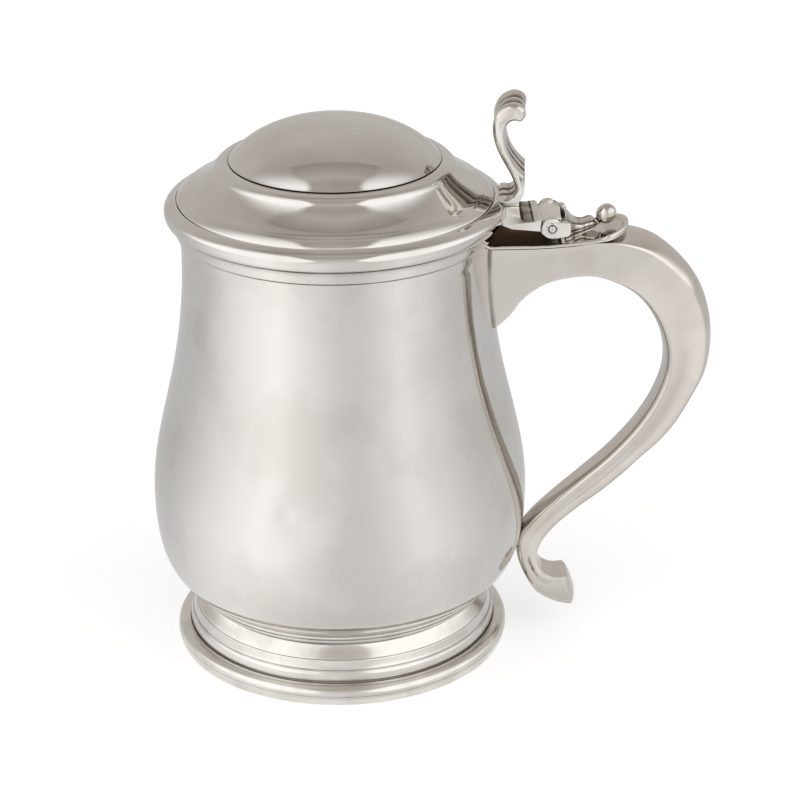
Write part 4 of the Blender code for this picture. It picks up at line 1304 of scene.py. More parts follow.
        # The wire's outer face, without its lip and its bore.
        face = self.flange(self.edge_height - 1.2)[5:38]
        skin = offset(self.cover() + face, CUT_GAP)
        skin[0] = (0.0, skin[0][1])
        skin.append((0.0, self.base - CUT_GAP))
        return bench.turned("lid_space", skin, segments=180)


@dataclass
class Pin:
    """Where the hinge pin lies, and the plate on top of the handle below it."""

    x: float = 67.3
    z: float = 143.4
    plate_drop: float = 5.5
    plate_curl: float = 0.003
    plate_flat: float = 9.3
    plate_thickness: float = 1.0

    def plate_top(self, x: float) -> float:
        """Height of the top plate's upper face along the handle."""
        rise = max(0.0, x - (self.x - self.plate_flat))
        return self.z - self.plate_drop + self.plate_curl * rise**2

    def back_under_plate(self, x: float) -> float:
        """Height of the handle's back where the top plate lies on it."""
        return self.plate_top(x) - self.plate_thickness


# Handle stations from the root to the grip, measured from the pin: finger side (x, z) and back x.
ROOT_STATIONS: tuple[tuple[Point, float], ...] = (
    ((-22.3, -36.9), -22.8),
    ((-16.3, -32.8), -16.8),
    ((-12.9, -29.6), -13.3),
    ((-9.0, -24.3), -7.8),
    ((-2.6, -19.6), -1.3),
    ((5.2, -17.3), 6.7),
    ((13.2, -16.9), 14.7),
)
# Grip stations: finger side, back, half widths on the finger side and at the back, crown of the back.
GRIP_STATIONS: tuple[Station, ...] = (
    ((19.9, -19.0), (23.2, -4.0), 10.1, 10.1, 1.6),
    ((25.2, -22.3), (32.2, -5.8), 9.6, 9.9, 3.0),
    ((29.7, -26.8), (41.0, -12.5), 8.9, 9.4, 3.2),
    ((33.5, -32.6), (47.8, -21.6), 8.2, 8.7, 2.9),
    ((36.1, -39.0), (51.5, -32.4), 7.5, 8.0, 2.5),
    ((37.4, -45.7), (52.3, -42.4), 6.9, 7.4, 2.2),
    ((37.0, -52.3), (51.0, -51.9), 6.4, 6.9, 2.0),
    ((34.9, -59.0), (47.3, -60.4), 6.1, 6.5, 1.8),
)
# Strut between the grip and the body: shares of the way in x and z, on the finger side and the back.
STRUT_SHARES: tuple[Station, ...] = (
    ((0.136, 0.221), (0.156, 0.258), 5.8, 6.2, 1.8),
    ((0.344, 0.447), (0.375, 0.474), 5.6, 6.0, 1.8),
    ((0.593, 0.655), (0.612, 0.686), 5.4, 5.8, 1.8),
    ((0.819, 0.835), (0.835, 0.852), 5.3, 5.6, 1.7),
)
# Tail from the contact with the body to the end plate, measured from the contact point.
TAIL_STATIONS: tuple[Station, ...] = (
    ((4.1, 6.0), (12.3, 2.4), 5.2, 5.4, 1.5),
    ((0.0, 0.0), (8.6, -2.5), 5.1, 5.3, 1.0),
    ((0.2, -6.6), (7.2, -6.6), 5.0, 5.4, 0.6),
    ((2.7, -14.4), (8.2, -11.3), 4.7, 5.7, 0.3),
    ((7.2, -21.6), (11.2, -13.6), 4.2, 6.0, 0.2),
    ((12.7, -25.0), (13.4, -14.0), 3.5, 6.1, 0.2),
    ((19.0, -26.3), (16.0, -13.7), 2.6, 6.2, 0.2),
)
# Crowned face of the end plate: rise over its rim, share of the outline.
SHIELD_DOME: tuple[Point, ...] = (
    (-0.3, 0.998), (-0.1, 0.985), (0.15, 0.955), (0.45, 0.905), (0.8, 0.82),
    (1.15, 0.7), (1.5, 0.53), (1.75, 0.36), (1.92, 0.18), (2.0, 0.03),
)
# Edge of the top plate, from its foot to its face: inset and rise along the sides, then round the tongue.
PLATE_EDGE: tuple[Row, ...] = (
    (0.5, -1.0, 0.5, -1.0), (0.0, -0.97, 0.0, -0.97), (0.0, -0.7, -0.05, -0.6), (0.05, -0.45, -0.05, -0.2),
    (0.15, -0.27, 0.0, 0.3), (0.3, -0.14, 0.2, 0.68), (0.5, -0.04, 0.55, 0.92), (0.7, 0.0, 0.95, 0.9),
    (0.95, 0.0, 1.3, 0.62), (1.2, 0.0, 1.6, 0.2), (1.5, 0.0, 1.8, 0.03), (2.2, 0.0, 2.2, 0.0),
)


@dataclass
class ScrollHandle:
    """The hollow handle: back and sides, finger strip, top plate and end shield."""

    vessel: Vessel
    pin: Pin
    half_width: float = 10.2
    wall: float = 1.0
    strip_thickness: float = 2.4
    round_depth: float = 3.2
    boxy: float = 0.62
    seam_angle: float = 50.0
    root_round: float = 1.5
    # The tail is rounder: its depth as a share of the handle's, its boxiness, and where it sets in.
    tail_round: float = 0.7
    tail_boxy: float = 0.85
    tail_flare: Point = (0.55, 1.6)
    side_swell: float = 0.85
    arris: float = 0.9
    flat_crown: float = 0.2
    solder_width: float = 1.3
    solder_fade: float = 1.6
    solder_stain: float = 0.6
    contact_height: float = 33.2
    contact_bite: float = 0.4
    shield_thickness: float = 0.5
    tongue_reach: float = 24.7
    tongue_length: float = 8.2
    tongue_curl: float = 1.0
    lip_run: float = 3.0
    # Painted shade, with oxide, lies on the plate under the lid's strap: where it ends behind the pin, and
    # how long it fades.
    strap_shade_end: float = 4.0
    strap_shade_fade: float = 7.0
    plate_steps: int = 24
    steps: int = 9

    def rows(self) -> list[Row]:
        """Rows along the handle: finger side x and z, back x and z, half widths and crown.

        Returns:
            The rows, from the root to the tail.
        """
        pin, wide = self.pin, self.half_width
        rows: list[Row] = []
        for (x, z), back in ROOT_STATIONS:
            back_x = pin.x + back
            place = (pin.x + x, pin.z + z, back_x, pin.back_under_plate(back_x))
            rows.append((*place, wide, wide, self.flat_crown))
        rows += self.placed(GRIP_STATIONS, (pin.x, pin.z))
        grip = rows[-1]
        contact = radius_at(self.vessel.outline(), self.contact_height) - self.contact_bite
        tail = self.placed(TAIL_STATIONS, (contact, self.contact_height))
        for finger, back, inner, outer, crown in STRUT_SHARES:
            shares = enumerate((*finger, *back))
            place = tuple(lerp(grip[column], tail[0][column], share) for column, share in shares)
            rows.append((*place, inner, outer, crown))
        return rows + tail

    @staticmethod
    def placed(stations: Sequence[Station], origin: Point) -> list[Row]:
        """Rows of stations that are measured from an origin.

        Args:
            stations: The stations.
            origin: Where they are measured from.

        Returns:
            The rows.
        """
        rows: list[Row] = []
        for finger, back, inner, outer, crown in stations:
            place = [start + move for start, move in zip(origin * 2, (*finger, *back))]
            rows.append((*place, inner, outer, crown))
        return rows

    @staticmethod
    def depth(row: Row) -> float:
        """Depth of the handle from the finger side to the back."""
        return hypot(row[2] - row[0], row[3] - row[1])

    def section(self, row: Row, places: Sequence[Point]) -> list[Spot]:
        """Points of a section: across the handle and up from the finger side.

        Args:
            row: Row of the handle.
            places: Section in its own plane.

        Returns:
            The points in space.
        """
        depth = self.depth(row)
        up = ((row[2] - row[0]) / depth, (row[3] - row[1]) / depth)
        return [(row[0] + up[0] * rise, across, row[1] + up[1] * rise) for across, rise in places]

    def finger_curve(self, row: Row, angle: float) -> Point:
        """Point of the finger side, from its middle at no angle to the flat side at 90 degrees.

        Args:
            row: Row of the handle.
            angle: Angle in degrees.

        Returns:
            Across the handle, and up.
        """
        turn = radians(angle)
        share = min(1.0, max(0.0, self.half_width - row[4]))
        deep = min(lerp(self.root_round, self.round_depth, share), self.depth(row) * 0.5)
        plump = self.plump(row)
        half = lerp(row[4], row[5], plump)
        deep = lerp(deep, self.depth(row) * self.tail_round, plump)
        boxy = lerp(self.boxy, self.tail_boxy, plump)
        return (half * sin(turn) ** boxy, deep * (1.0 - cos(turn) ** boxy))

    def plump(self, row: Row) -> float:
        """How far a section is rounded from the finger side to its wider back, as at the tail."""
        start, span = self.tail_flare
        return min(1.0, max(0.0, (row[5] - row[4] - start) / span))

    def strip_half(self, row: Row) -> Outline:
        """Right half of the strip's crowned face, from its middle to the seam."""
        turns = [self.seam_angle * step / 10 for step in range(1, 10)]
        return [self.finger_curve(row, turn) for turn in (*turns, self.seam_angle - 0.5, self.seam_angle)]

    def strip_places(self, row: Row) -> Outline:
        """Section of the finger strip.

        Args:
            row: Row of the handle.

        Returns:
            Places across the handle, and up.
        """
        face = self.strip_half(row)
        edge, rise = face[-1]
        right = [*face, (edge - 0.3, rise + self.strip_thickness * 0.4)]
        left = [(-across, height) for across, height in reversed(right)]
        return left + [(0.0, 0.0)] + right

    def side_places(self, row: Row) -> Outline:
        """Right half of the shell's outside, from its seam over the arris to the middle of the back.

        Args:
            row: Row of the handle.

        Returns:
            Places across the handle, and up.
        """
        outer, crown = row[5:7]
        depth = self.depth(row)
        places = [self.finger_curve(row, turn) for turn in (self.seam_angle, self.seam_angle + 0.5)]
        places += [self.finger_curve(row, lerp(self.seam_angle, 90.0, step / 8)) for step in range(1, 9)]
        inner, start = places[-1]
        high = depth - crown
        ease = min(self.arris, crown * 0.5, (high - start) * 0.4)
        for share in (0.25, 0.5, 0.75):
            bow = 4 * share * (1 - share) * (outer - inner) * self.side_swell
            places.append((lerp(inner, outer, share) + bow, lerp(start, high - ease, share)))
        slope = 2 * crown / outer
        over = (outer - ease, high + slope * ease * 0.9)
        corner = (outer - ease * 0.35, over[1] - slope * ease * 0.5)
        places += bezier((outer, high - ease), (outer, high - ease * 0.35), corner, over, 5)
        for share in (0.85, 0.7, 0.55, 0.4, 0.25, 0.12):
            places.append((outer * share, depth - crown * share**2))
        return places

    def shell_places(self, row: Row) -> Outline:
        """Section of the channel: outside, then the bore.

        Args:
            row: Row of the handle.

        Returns:
            Places across the handle, and up.
        """
        outer, crown = row[5:7]
        depth = self.depth(row)
        outside = self.side_places(row)
        seam, low = outside[0]
        bore = [(seam - self.wall * 0.6, low + self.wall * 0.8)]
        bore.append((outer - self.wall, depth - crown - self.wall))
        left = [(-across, rise) for across, rise in outside]
        right = list(reversed(outside))
        bore_left = [(-across, rise) for across, rise in reversed(bore)]
        return left + [(0.0, depth)] + right + bore + [(0.0, depth - self.wall)] + bore_left

    def shield_places(self, row: Row, scale: float) -> Outline:
        """Outline of the whole section, drawn in towards its middle.

        Args:
            row: Row of the handle.
            scale: Share of the full outline.

        Returns:
            Places across the handle, and up.
        """
        depth = self.depth(row)
        right = self.strip_half(row) + self.side_places(row)[1:]
        left = [(-across, rise) for across, rise in right]
        places = [(0.0, 0.0), *left, (0.0, depth), *reversed(right)]
        return [(across * scale, lerp(depth / 2, rise, scale)) for across, rise in places]

    def body_space(self, bench: Workbench) -> Mesh:
        """Cutter: all that the body fills, less a hair, so that the handle bites into it.

        Args:
            bench: Workbench with the lathe.

        Returns:
            The cutter.
        """
        skin = offset(self.vessel.outline(40, 24, 8), -CUT_GAP)
        skin[-1] = (0.0, skin[-1][1])
        radius, high = skin[0]
        above = high + 3.0
        return bench.turned("body_space", [(0.0, above), (radius, above), *skin], segments=180)

    def solder(self, points: np.ndarray) -> np.ndarray:
        """Brown solder line along the body.

        Args:
            points: Points in metres.

        Returns:
            The oxide at each point.
        """
        outline = self.vessel.outline()
        heights = np.array([z for _, z in reversed(outline)]) * MM
        radii = np.array([radius for radius, _ in reversed(outline)]) * MM
        gap = np.hypot(points[:, 0], points[:, 1]) - np.interp(points[:, 2], heights, radii)
        near = self.solder_fade * (1.0 - gap / (self.solder_width * MM))
        return np.clip(near, 0.0, 1.0) * self.solder_stain

    def build(self, bench: Workbench) -> None:
        """Builds the four pieces of the handle.

        Args:
            bench: The workbench.
        """
        rows = self.rows()
        end = rows[-1]
        run = (end[2] - end[0], end[3] - end[1])
        length = hypot(*run)
        normal = (run[1] / length, -run[0] / length)

        def moved(distance: float) -> Row:
            """The last row, moved out along the handle."""
            x, z = normal[0] * distance, normal[1] * distance
            return (end[0] + x, end[1] + z, end[2] + x, end[3] + z, *end[4:])

        rows[-1] = moved(-self.shield_thickness - 0.02)
        fine = smooth(rows, self.steps)
        sheets = (
            ("handle_channel", "handle_back_shell", self.shell_places),
            ("handle_finger_strip", "handle_inner_strip", self.strip_places),
        )
        for name, node, places in sheets:
            sheet = mesh_of(name, loft([self.section(row, places(row)) for row in fine]), Crease.SHEET)
            sheet = bench.cut(sheet, self.body_space(bench))
            bench.fit(sheet, node, Body.VESSEL, Slot.POLISHED, HANDLED, self.solder)
        dome = [(-self.shield_thickness, 1.0), *SHIELD_DOME]
        rings = [self.section(moved(rise), self.shield_places(moved(rise), scale)) for rise, scale in dome]
        shield = mesh_of("handle_end_plate", loft(rings), Crease.PLATE)
        bench.fit(shield, "handle_end_shield", Body.VESSEL, Slot.POLISHED, HANDLED)
        self.build_top_plate(bench)

    @property
    def tongue_start(self) -> float:
        """Where the straight sides of the top plate end and its tongue begins."""
        return self.pin.x + self.tongue_reach - self.tongue_length

    def plate_outline(self) -> Outline:
        """Outline of the top plate from above, from one side of its root round the tongue to the other.

        Returns:
            The outline, along the handle and across it.
        """
        root, start = self.pin.x + ROOT_STATIONS[0][1], self.tongue_start
        wide, steps = self.half_width, self.plate_steps
        near = [(lerp(root, start, step / steps), -wide) for step in range(steps + 1)]
        for step in range(1, steps + 1):
            angle = radians(90.0 * step / steps)
            near.append((start + self.tongue_length * sin(angle), -wide * cos(angle)))
        return near + [(x, -y) for x, y in reversed(near[:-1])]

    def plate_ring(self, outline: Sequence[Point], edge: Row) -> list[Spot]:
        """Ring of the top plate.

        Args:
            outline: Outline of the plate from above.
            edge: Inset and rise along the sides, and of the lip round the tongue.

        Returns:
            The ring, bent to the plate and its curl.
        """
        side_inset, side_rise, lip_inset, lip_rise = edge
        start = self.tongue_start
        ring = []
        for (x, y), (lip_x, lip_y) in zip(offset(outline, side_inset), offset(outline, lip_inset)):
            share = min(1.0, max(0.0, (x - start + self.lip_run / 2) / self.lip_run))
            share = share * share * (3.0 - 2.0 * share)
            place = (lerp(x, lip_x, share), lerp(y, lip_y, share))
            curl = self.tongue_curl * max(0.0, (place[0] - start) / self.tongue_length) ** 2
            height = self.pin.plate_top(place[0]) + curl + lerp(side_rise, lip_rise, share)
            ring.append((*place, height))
        return ring

    def build_top_plate(self, bench: Workbench) -> None:
        """Builds the plate on top of the handle, with a raised edge round its tongue.

        Args:
            bench: The workbench.
        """
        outline = self.plate_outline()
        count, middle = len(outline), len(outline) // 2
        shape = bmesh.new()
        loops = []
        for edge in PLATE_EDGE:
            ring = self.plate_ring(outline, edge)
            loops.append([shape.verts.new(Vector(point) * MM) for point in ring])
        for lower, upper in zip(loops, loops[1:]):
            for index in range(count - 1):
                shape.faces.new((lower[index], lower[index + 1], upper[index + 1], upper[index]))
        for loop in (loops[0], loops[-1]):
            for index in range(middle - 1):
                other = count - 1 - index
                shape.faces.new((loop[index], loop[index + 1], loop[other - 1], loop[other]))
            shape.faces.new((loop[middle - 1], loop[middle], loop[middle + 1]))
        shape.faces.new([loop[0] for loop in loops] + [loop[-1] for loop in reversed(loops)])
        plate = mesh_of("handle_tongue_plate", shape, Crease.PLATE)
        plate = bench.cut(plate, self.body_space(bench))
        # Painted shade, with oxide, darkens the plate under the lid's strap.
        bench.fit(plate, "handle_top_plate", Body.VESSEL, Slot.POLISHED, HANDLED, self.oxide_and_shade_under_strap)

    def oxide_and_shade_under_strap(self, points: np.ndarray) -> np.ndarray:
        """Oxide and painted shade on the face of the top plate where the lid's strap covers it.

        Args:
            points: Points in metres.

        Returns:
            The oxide at each point.
        """
        face = points[:, 2] > (self.pin.z - self.pin.plate_drop - 0.12) * MM
        cover = ((self.pin.x + self.strap_shade_end) * MM - points[:, 0]) / (self.strap_shade_fade * MM)
        return np.clip(cover, 0.0, 1.0) * face


# Standing leaf from its slot to its tip: distance from the pin, half width, and top above the pin.
LEAF_STATIONS: tuple[Spot, ...] = (
    (4.55, 7.95, 2.4),
    (5.6, 7.85, 2.1),
    (6.5, 7.0, 1.1),
    (7.6, 5.4, 0.0),
    (9.0, 4.3, -0.8),
    (10.5, 3.9, -0.75),
    (12.0, 4.05, -0.25),
    (13.0, 3.8, -0.15),
    (14.0, 2.7, -0.65),
    (14.9, 1.5, -0.95),
)
# Section of the leaf from its middle to its foot: share of the half width, share of the height below the top.
LEAF_SECTION: tuple[Point, ...] = (
    (0.3, 0.01), (0.52, 0.05), (0.64, 0.13), (0.7, 0.14), (0.76, 0.09), (0.84, 0.08),
    (0.91, 0.13), (0.95, 0.24), (0.96, 0.34), (0.93, 0.42), (0.94, 0.48), (0.985, 0.56),
    (0.98, 0.64), (0.945, 0.7), (0.97, 0.78), (1.0, 0.9), (0.99, 1.0),
)


@dataclass
class Hinge:
    """The standing leaf with its cheeks, its ball, the pin, and the lid's leaf with the knuckle."""

    pin: Pin
    lid: Lid
    pin_radius: float = 1.25
    head_radius: float = 1.9
    head_thickness: float = 0.95
    knuckle_radius: float = 3.8
    knuckle_flat: float = 2.7
    knuckle_half_width: float = 7.6
    cheek_radius: float = 3.25
    cheek_thickness: float = 2.1
    cheek_length: float = 5.8
    cheek_tail_top: float = 1.7
    cheek_tail_bottom: float = 2.7
    cheek_ease: float = 0.3
    strap_half_width: float = 9.7
    strap_top: float = 2.2
    strap_bottom: float = 1.3
    strap_ease: float = 0.35
    knuckle_ease: float = 0.15
    upright_rise: float = 4.8
    upright_thickness: float = 3.1
    gap: float = 0.2
    camber: float = 2.4
    camber_run: float = 4.0
    tail_start: float = 9.5
    tail_end: float = 15.0
    tail_clearance: float = 1.9
    ball_radius: float = 3.08
    ball_reach: float = 17.7
    ball_rise: float = 1.25
    ball_stretch: float = 1.08

    def build(self, bench: Workbench) -> None:
        """Builds the four pieces of the hinge.

        Args:
            bench: The workbench.
        """
        self.build_standing_leaf(bench)
        self.build_ball(bench)
        self.build_pin(bench)
        self.build_lid_leaf(bench)

    def round_pin(self, radius: float, angle: float) -> Point:
        """Point at an angle and a distance from the pin, in the plane of the handle."""
        return (self.pin.x + radius * cos(angle), self.pin.z + radius * sin(angle))

    def leaf_ring(self, reach: float, half: float, top: float) -> list[Spot]:
        """Section of the standing leaf: cambered, with a rolled edge and carved sides.

        Args:
            reach: Distance from the pin.
            half: Half width.
            top: Top above the pin.

        Returns:
            The points in space.
        """
        pin = self.pin
        x = pin.x + reach
        lift = min(1.0, max(0.0, (reach - self.tail_start) / (self.tail_end - self.tail_start)))
        low = lerp(pin.plate_top(x) + 0.08, pin.z - self.tail_clearance, lift)
        high = pin.z + top
        camber = self.camber * max(0.0, 1.0 - (reach - LEAF_STATIONS[0][0]) / self.camber_run)
        right = [(half * across, lerp(high - camber * across**2, low, drop)) for across, drop in LEAF_SECTION]
        left = [(-across, rise) for across, rise in right]
        return [(x, across, rise) for across, rise in [*reversed(left), (0.0, high), *right]]

    def build_standing_leaf(self, bench: Workbench) -> None:
        """Builds the leaf and the cheeks at either end of the knuckle.

        Args:
            bench: The workbench.
        """
        pin = self.pin
        rings = [self.leaf_ring(*row) for row in smooth(LEAF_STATIONS, 6)]
        shapes = [loft(rings)]
        turns = [radians(65.0 + 230.0 * step / 30) for step in range(31)]
        outline = [self.round_pin(self.cheek_radius, turn) for turn in turns]
        end = pin.x + self.cheek_length
        low, high = pin.z - self.cheek_tail_bottom, pin.z + self.cheek_tail_top
        outline += bezier((end - 1.0, low), (end - 0.4, low), (end - 0.1, low + 0.4), (end, low + 1.2), 5)
        corner = (end - 1.0, high - 0.05)
        outline += bezier((end, high - 1.2), (end - 0.1, high - 0.5), (end - 0.4, high - 0.15), corner, 5)
        hollow = (pin.x + 1.9, high + 0.75)
        outline += bezier((end - 1.5, high), (end - 2.4, high + 0.05), (pin.x + 2.5, high + 0.25), hollow, 5)
        inner = self.knuckle_half_width + self.gap
        for side in (-1.0, 1.0):
            outer = side * (inner + self.cheek_thickness)
            shapes.append(slab(outline, side * inner, outer, self.cheek_ease))
        mesh = mesh_of("hinge_leaf_with_cheeks", joined(shapes), Crease.HINGE)
        bench.fit(mesh, "hinge_standing_leaf", Body.VESSEL, Slot.CAST, CAST)

    def build_ball(self, bench: Workbench) -> None:
        """Builds the ball finial, whose neck leans out of the tip of the leaf.

        Args:
            bench: The workbench.
        """
        pin, radius = self.pin, self.ball_radius
        reach, _, top = LEAF_STATIONS[-1]
        foot = (reach - 0.3, (top - self.tail_clearance) / 2)
        lean = atan2(self.ball_reach - foot[0], self.ball_rise - foot[1])
        length = hypot(self.ball_reach - foot[0], self.ball_rise - foot[1])
        points = [(0.0, radius * self.ball_stretch)]
        for step in range(1, 29):
            angle = radians(90.0 - 152.0 * step / 28)
            points.append((radius * cos(angle), radius * self.ball_stretch * sin(angle)))
        neck = (1.25, -length + 0.5)
        points += bezier(points[-1], (1.0, -radius * 1.02), (0.95, -length + 0.9), neck, 8)[1:]
        points += bezier(points[-1], (1.4, -length + 0.35), (1.3, -length), (1.0, -length), 4)[1:]
        mesh = bench.turned("ball_finial", [*points, (0.0, -length)], CAST, segments=64)
        place = Matrix.Translation(((pin.x + self.ball_reach) * MM, 0.0, (pin.z + self.ball_rise) * MM))
        mesh.transform(place @ Matrix.Rotation(lean, 4, "Y"))
        bench.fit(mesh, "hinge_ball", Body.VESSEL, Slot.CAST)

    def build_pin(self, bench: Workbench) -> None:
        """Builds the pin with a domed, ringed head at each end.

        Args:
            bench: The workbench.
        """
        face = self.knuckle_half_width + self.gap + self.cheek_thickness + 0.02
        rim, ledge, end = self.head_radius, face + 0.5, face + self.head_thickness
        half = [(self.pin_radius, 0.0), (self.pin_radius, face), (rim - 0.15, face), (rim, face + 0.12)]
        half += bezier((rim, face + 0.15), (rim, face + 0.4), (rim - 0.2, ledge), (rim - 0.4, ledge), 5)[1:]
        half += reed((rim - 0.45, ledge), (rim - 0.75, face + 0.52), -0.2, 5)
        half += bezier((rim - 0.8, face + 0.55), (rim - 0.9, face + 0.9), (0.5, end), (0.0, end), 8)
        points = [(radius, -along) for radius, along in reversed(half[1:])] + half
        mesh = bench.turned("hinge_pin_with_heads", points, CAST, segments=56)
        place = Matrix.Translation((self.pin.x * MM, 0.0, self.pin.z * MM))
        mesh.transform(place @ Matrix.Rotation(pi / 2, 4, "X"))
        bench.fit(mesh, "hinge_pin", Body.VESSEL, Slot.CAST)

    @property
    def strap_end(self) -> float:
        """Where the strap ends, just in front of the cheeks."""
        return self.pin.x - self.cheek_radius - 0.25

    def strap_outline(self) -> Outline:
        """Side view of the upright against the lid and of the strap behind it.

        Returns:
            The outline, along the handle and up.
        """
        pin, lid, end = self.pin, self.lid, self.strap_end
        top = lid.base + self.upright_rise
        high, low = pin.z + self.strap_top, pin.z - self.strap_bottom
        front, back = lid.flange_radius - 2.0, lid.flange_radius + self.upright_thickness
        points = [(front, top)]
        fall = (back + 0.4, lerp(top, high, 0.6))
        points += bezier((back, top), fall, (back + 0.5, high + 0.1), (back + 1.6, high), 10)
        points += [(back + 2.0, high), (end - 2.9, high)]
        tip = (end, high + 0.1)
        points += bezier((end - 2.5, high), (end - 1.6, high + 0.5), (end - 0.5, high + 0.6), tip, 10)
        return points + [(end, low), (lid.flange_radius + 1.0, pin.z), (front, pin.z + 0.9)]

    def knuckle_outline(self) -> Outline:
        """Side view of the knuckle: a barrel with a flat top, and a neck that reaches into the strap.

        Returns:
            The outline, along the handle and up.
        """
        pin, radius = self.pin, self.knuckle_radius
        neck, high = self.strap_end - 1.5, pin.z + self.strap_top - 0.4
        flat = asin(self.knuckle_flat / radius)
        low = -pi + asin((self.strap_bottom - 0.2) / radius)
        points = [(neck, high), (pin.x - radius * 0.8, high)]
        points.append((pin.x - radius * 0.4, pin.z + self.knuckle_flat))
        points += [self.round_pin(radius, lerp(flat, low, step / 36)) for step in range(37)]
        return [*points, (neck, pin.z - self.strap_bottom + 0.2)]

    def build_lid_leaf(self, bench: Workbench) -> None:
        """Builds the upright, the strap and the knuckle on the lid.

        The strap is cut to the lid before the knuckle joins it, because a clean cut needs one closed shape.

        Args:
            bench: The workbench.
        """
        wide, knuckle_wide = self.strap_half_width, self.knuckle_half_width
        strap = mesh_of("strap", slab(self.strap_outline(), -wide, wide, self.strap_ease), Crease.HINGE)
        cut_strap = bmesh.new()
        cut_strap.from_mesh(bench.cut(strap, self.lid.space(bench)))
        knuckle = slab(self.knuckle_outline(), -knuckle_wide, knuckle_wide, self.knuckle_ease)
        mesh = mesh_of("lid_strap_and_knuckle", joined([cut_strap, knuckle]), Crease.HINGE)
        bench.fit(mesh, "lid_leaf", Body.LID, Slot.CAST, CAST)


# Outline of the thumbpiece's scroll in the plane of the handle, measured from the rim wire's outer edge
# and from the lip of the body.
THUMB_SCROLL: tuple[Point, ...] = (
    (-2.6, 6.5), (-1.2, 7.0), (0.5, 7.1), (1.7, 7.9), (2.5, 9.3), (2.7, 11.0), (2.1, 12.9), (1.1, 15.2),
    (-0.8, 18.6), (-2.7, 22.3), (-4.0, 26.0), (-4.5, 29.3), (-4.2, 32.5), (-3.0, 35.2), (-0.9, 37.1),
    (1.6, 37.9), (4.0, 37.4), (5.5, 35.8), (5.4, 33.5), (4.1, 32.2), (2.6, 32.4), (1.3, 32.2), (0.2, 31.3),
    (-0.6, 29.4), (-0.6, 26.5), (0.0, 23.2), (1.3, 20.0), (3.3, 17.1), (5.4, 14.7),
)
THUMB_HEEL: tuple[Point, ...] = ((4.1, 13.9), (5.2, 12.2), (5.5, 10.2), (5.0, 8.4), (3.9, 6.4))
# Ribs and flutes across the thumbpiece: share of the half width, depth below the outline.
THUMB_RIBS: tuple[Point, ...] = (
    (1.0, 1.15), (0.99, 0.98), (0.968, 0.73), (0.938, 0.46), (0.9, 0.22), (0.86, 0.07),
    (0.8, 0.0), (0.68, 0.03), (0.57, 0.18), (0.46, 0.5), (0.37, 0.88), (0.3, 1.08),
    (0.22, 0.98), (0.15, 0.58), (0.09, 0.32), (0.0, 0.24),
)


@dataclass
class Thumbpiece:
    """The cast scroll that the thumb presses, fluted on both faces."""

    lid: Lid
    hinge: Hinge
    half_width: float = 8.8
    turn: float = -5.0
    plain_ends: int = 6
    # Oxide in the flutes: depths between which it grows, its strength, and its share of the half width.
    stain_range: Point = (0.3, 0.9)
    stain: float = 0.68
    stain_width: float = 0.8
    # The ribs sink by no more than this share of the outline's own radius, evened out over a few points.
    sink_share: float = 0.7
    sink_spread: int = 4
    least_bend: float = 0.05
    steps: int = 5

    def build(self, bench: Workbench) -> None:
        """Builds the thumbpiece and cuts it to the lid.

        Args:
            bench: The workbench.
        """
        rim = self.lid.base - 0.3
        base = self.lid.base + self.hinge.upright_rise + 0.06 - rim
        scroll = smooth(THUMB_SCROLL, self.steps)
        heel = smooth(THUMB_HEEL, self.steps)
        outline = [*scroll, *heel, (THUMB_HEEL[-1][0], base), (THUMB_SCROLL[0][0], base)]
        across = [(-share, depth) for share, depth in THUMB_RIBS] + list(reversed(THUMB_RIBS[:-1]))
        angle = radians(self.turn)
        sine, cosine = sin(angle), cos(angle)
        last = len(scroll) - 1
        plain = self.plain_ends * self.steps
        rings = []
        for share, depth in across:
            sunk = self.inset(outline, depth)
            ring = []
            for index, (point, low) in enumerate(zip(outline, sunk)):
                weight = min(1.0, max(0.0, min(index, last - index) / plain))
                x, z = lerp(point[0], low[0], weight), lerp(point[1], low[1], weight)
                y = share * self.half_width
                out, aside = x * cosine - y * sine, x * sine + y * cosine
                ring.append((self.lid.flange_radius + out, aside, rim + z))
            rings.append(ring)
        mesh = mesh_of("scroll_thumbpiece", loft(rings), Crease.SCROLL)
        mesh = bench.cut(mesh, self.lid.space(bench))
        bench.fit(mesh, "thumbpiece", Body.LID, Slot.CAST, CAST, self.flute_stain)

    def flute_stain(self, points: np.ndarray) -> np.ndarray:
        """Oxide along the flutes, deepest where they are.

        Args:
            points: Points in metres.

        Returns:
            The oxide at each point.
        """
        angle = radians(self.turn)
        out = points[:, 0] / MM - self.lid.flange_radius
        across = np.abs(points[:, 1] / MM * cos(angle) - out * sin(angle)) / self.half_width
        ribs = np.array(list(reversed(THUMB_RIBS)))
        depth = np.interp(across, ribs[:, 0], ribs[:, 1])
        start, end = self.stain_range
        return np.clip((depth - start) / (end - start), 0.0, 1.0) * (across < self.stain_width) * self.stain

    def inset(self, points: Sequence[Point], distance: float) -> Outline:
        """A closed outline, drawn clockwise, moved inwards, and by less where it turns tightly.

        Args:
            points: The outline.
            distance: How far it is moved.

        Returns:
            The moved outline.
        """
        table = np.array(points)
        arrive, leave = table - np.roll(table, 1, axis=0), np.roll(table, -1, axis=0) - table
        run = arrive + leave
        span = np.linalg.norm(run, axis=1)
        bend = 2.0 * (arrive[:, 1] * leave[:, 0] - arrive[:, 0] * leave[:, 1])
        bend /= np.linalg.norm(arrive, axis=1) * np.linalg.norm(leave, axis=1) * span
        move = np.minimum(distance, self.sink_share / np.maximum(bend, self.least_bend))
        near = range(-self.sink_spread, self.sink_spread + 1)
        move = np.min([np.roll(move, shift) for shift in near], axis=0)
        move = np.mean([np.roll(move, shift) for shift in near], axis=0)
        left = np.stack((run[:, 1], -run[:, 0]), axis=1) / span[:, None]
        return [(float(x), float(z)) for x, z in table + left * move[:, None]]


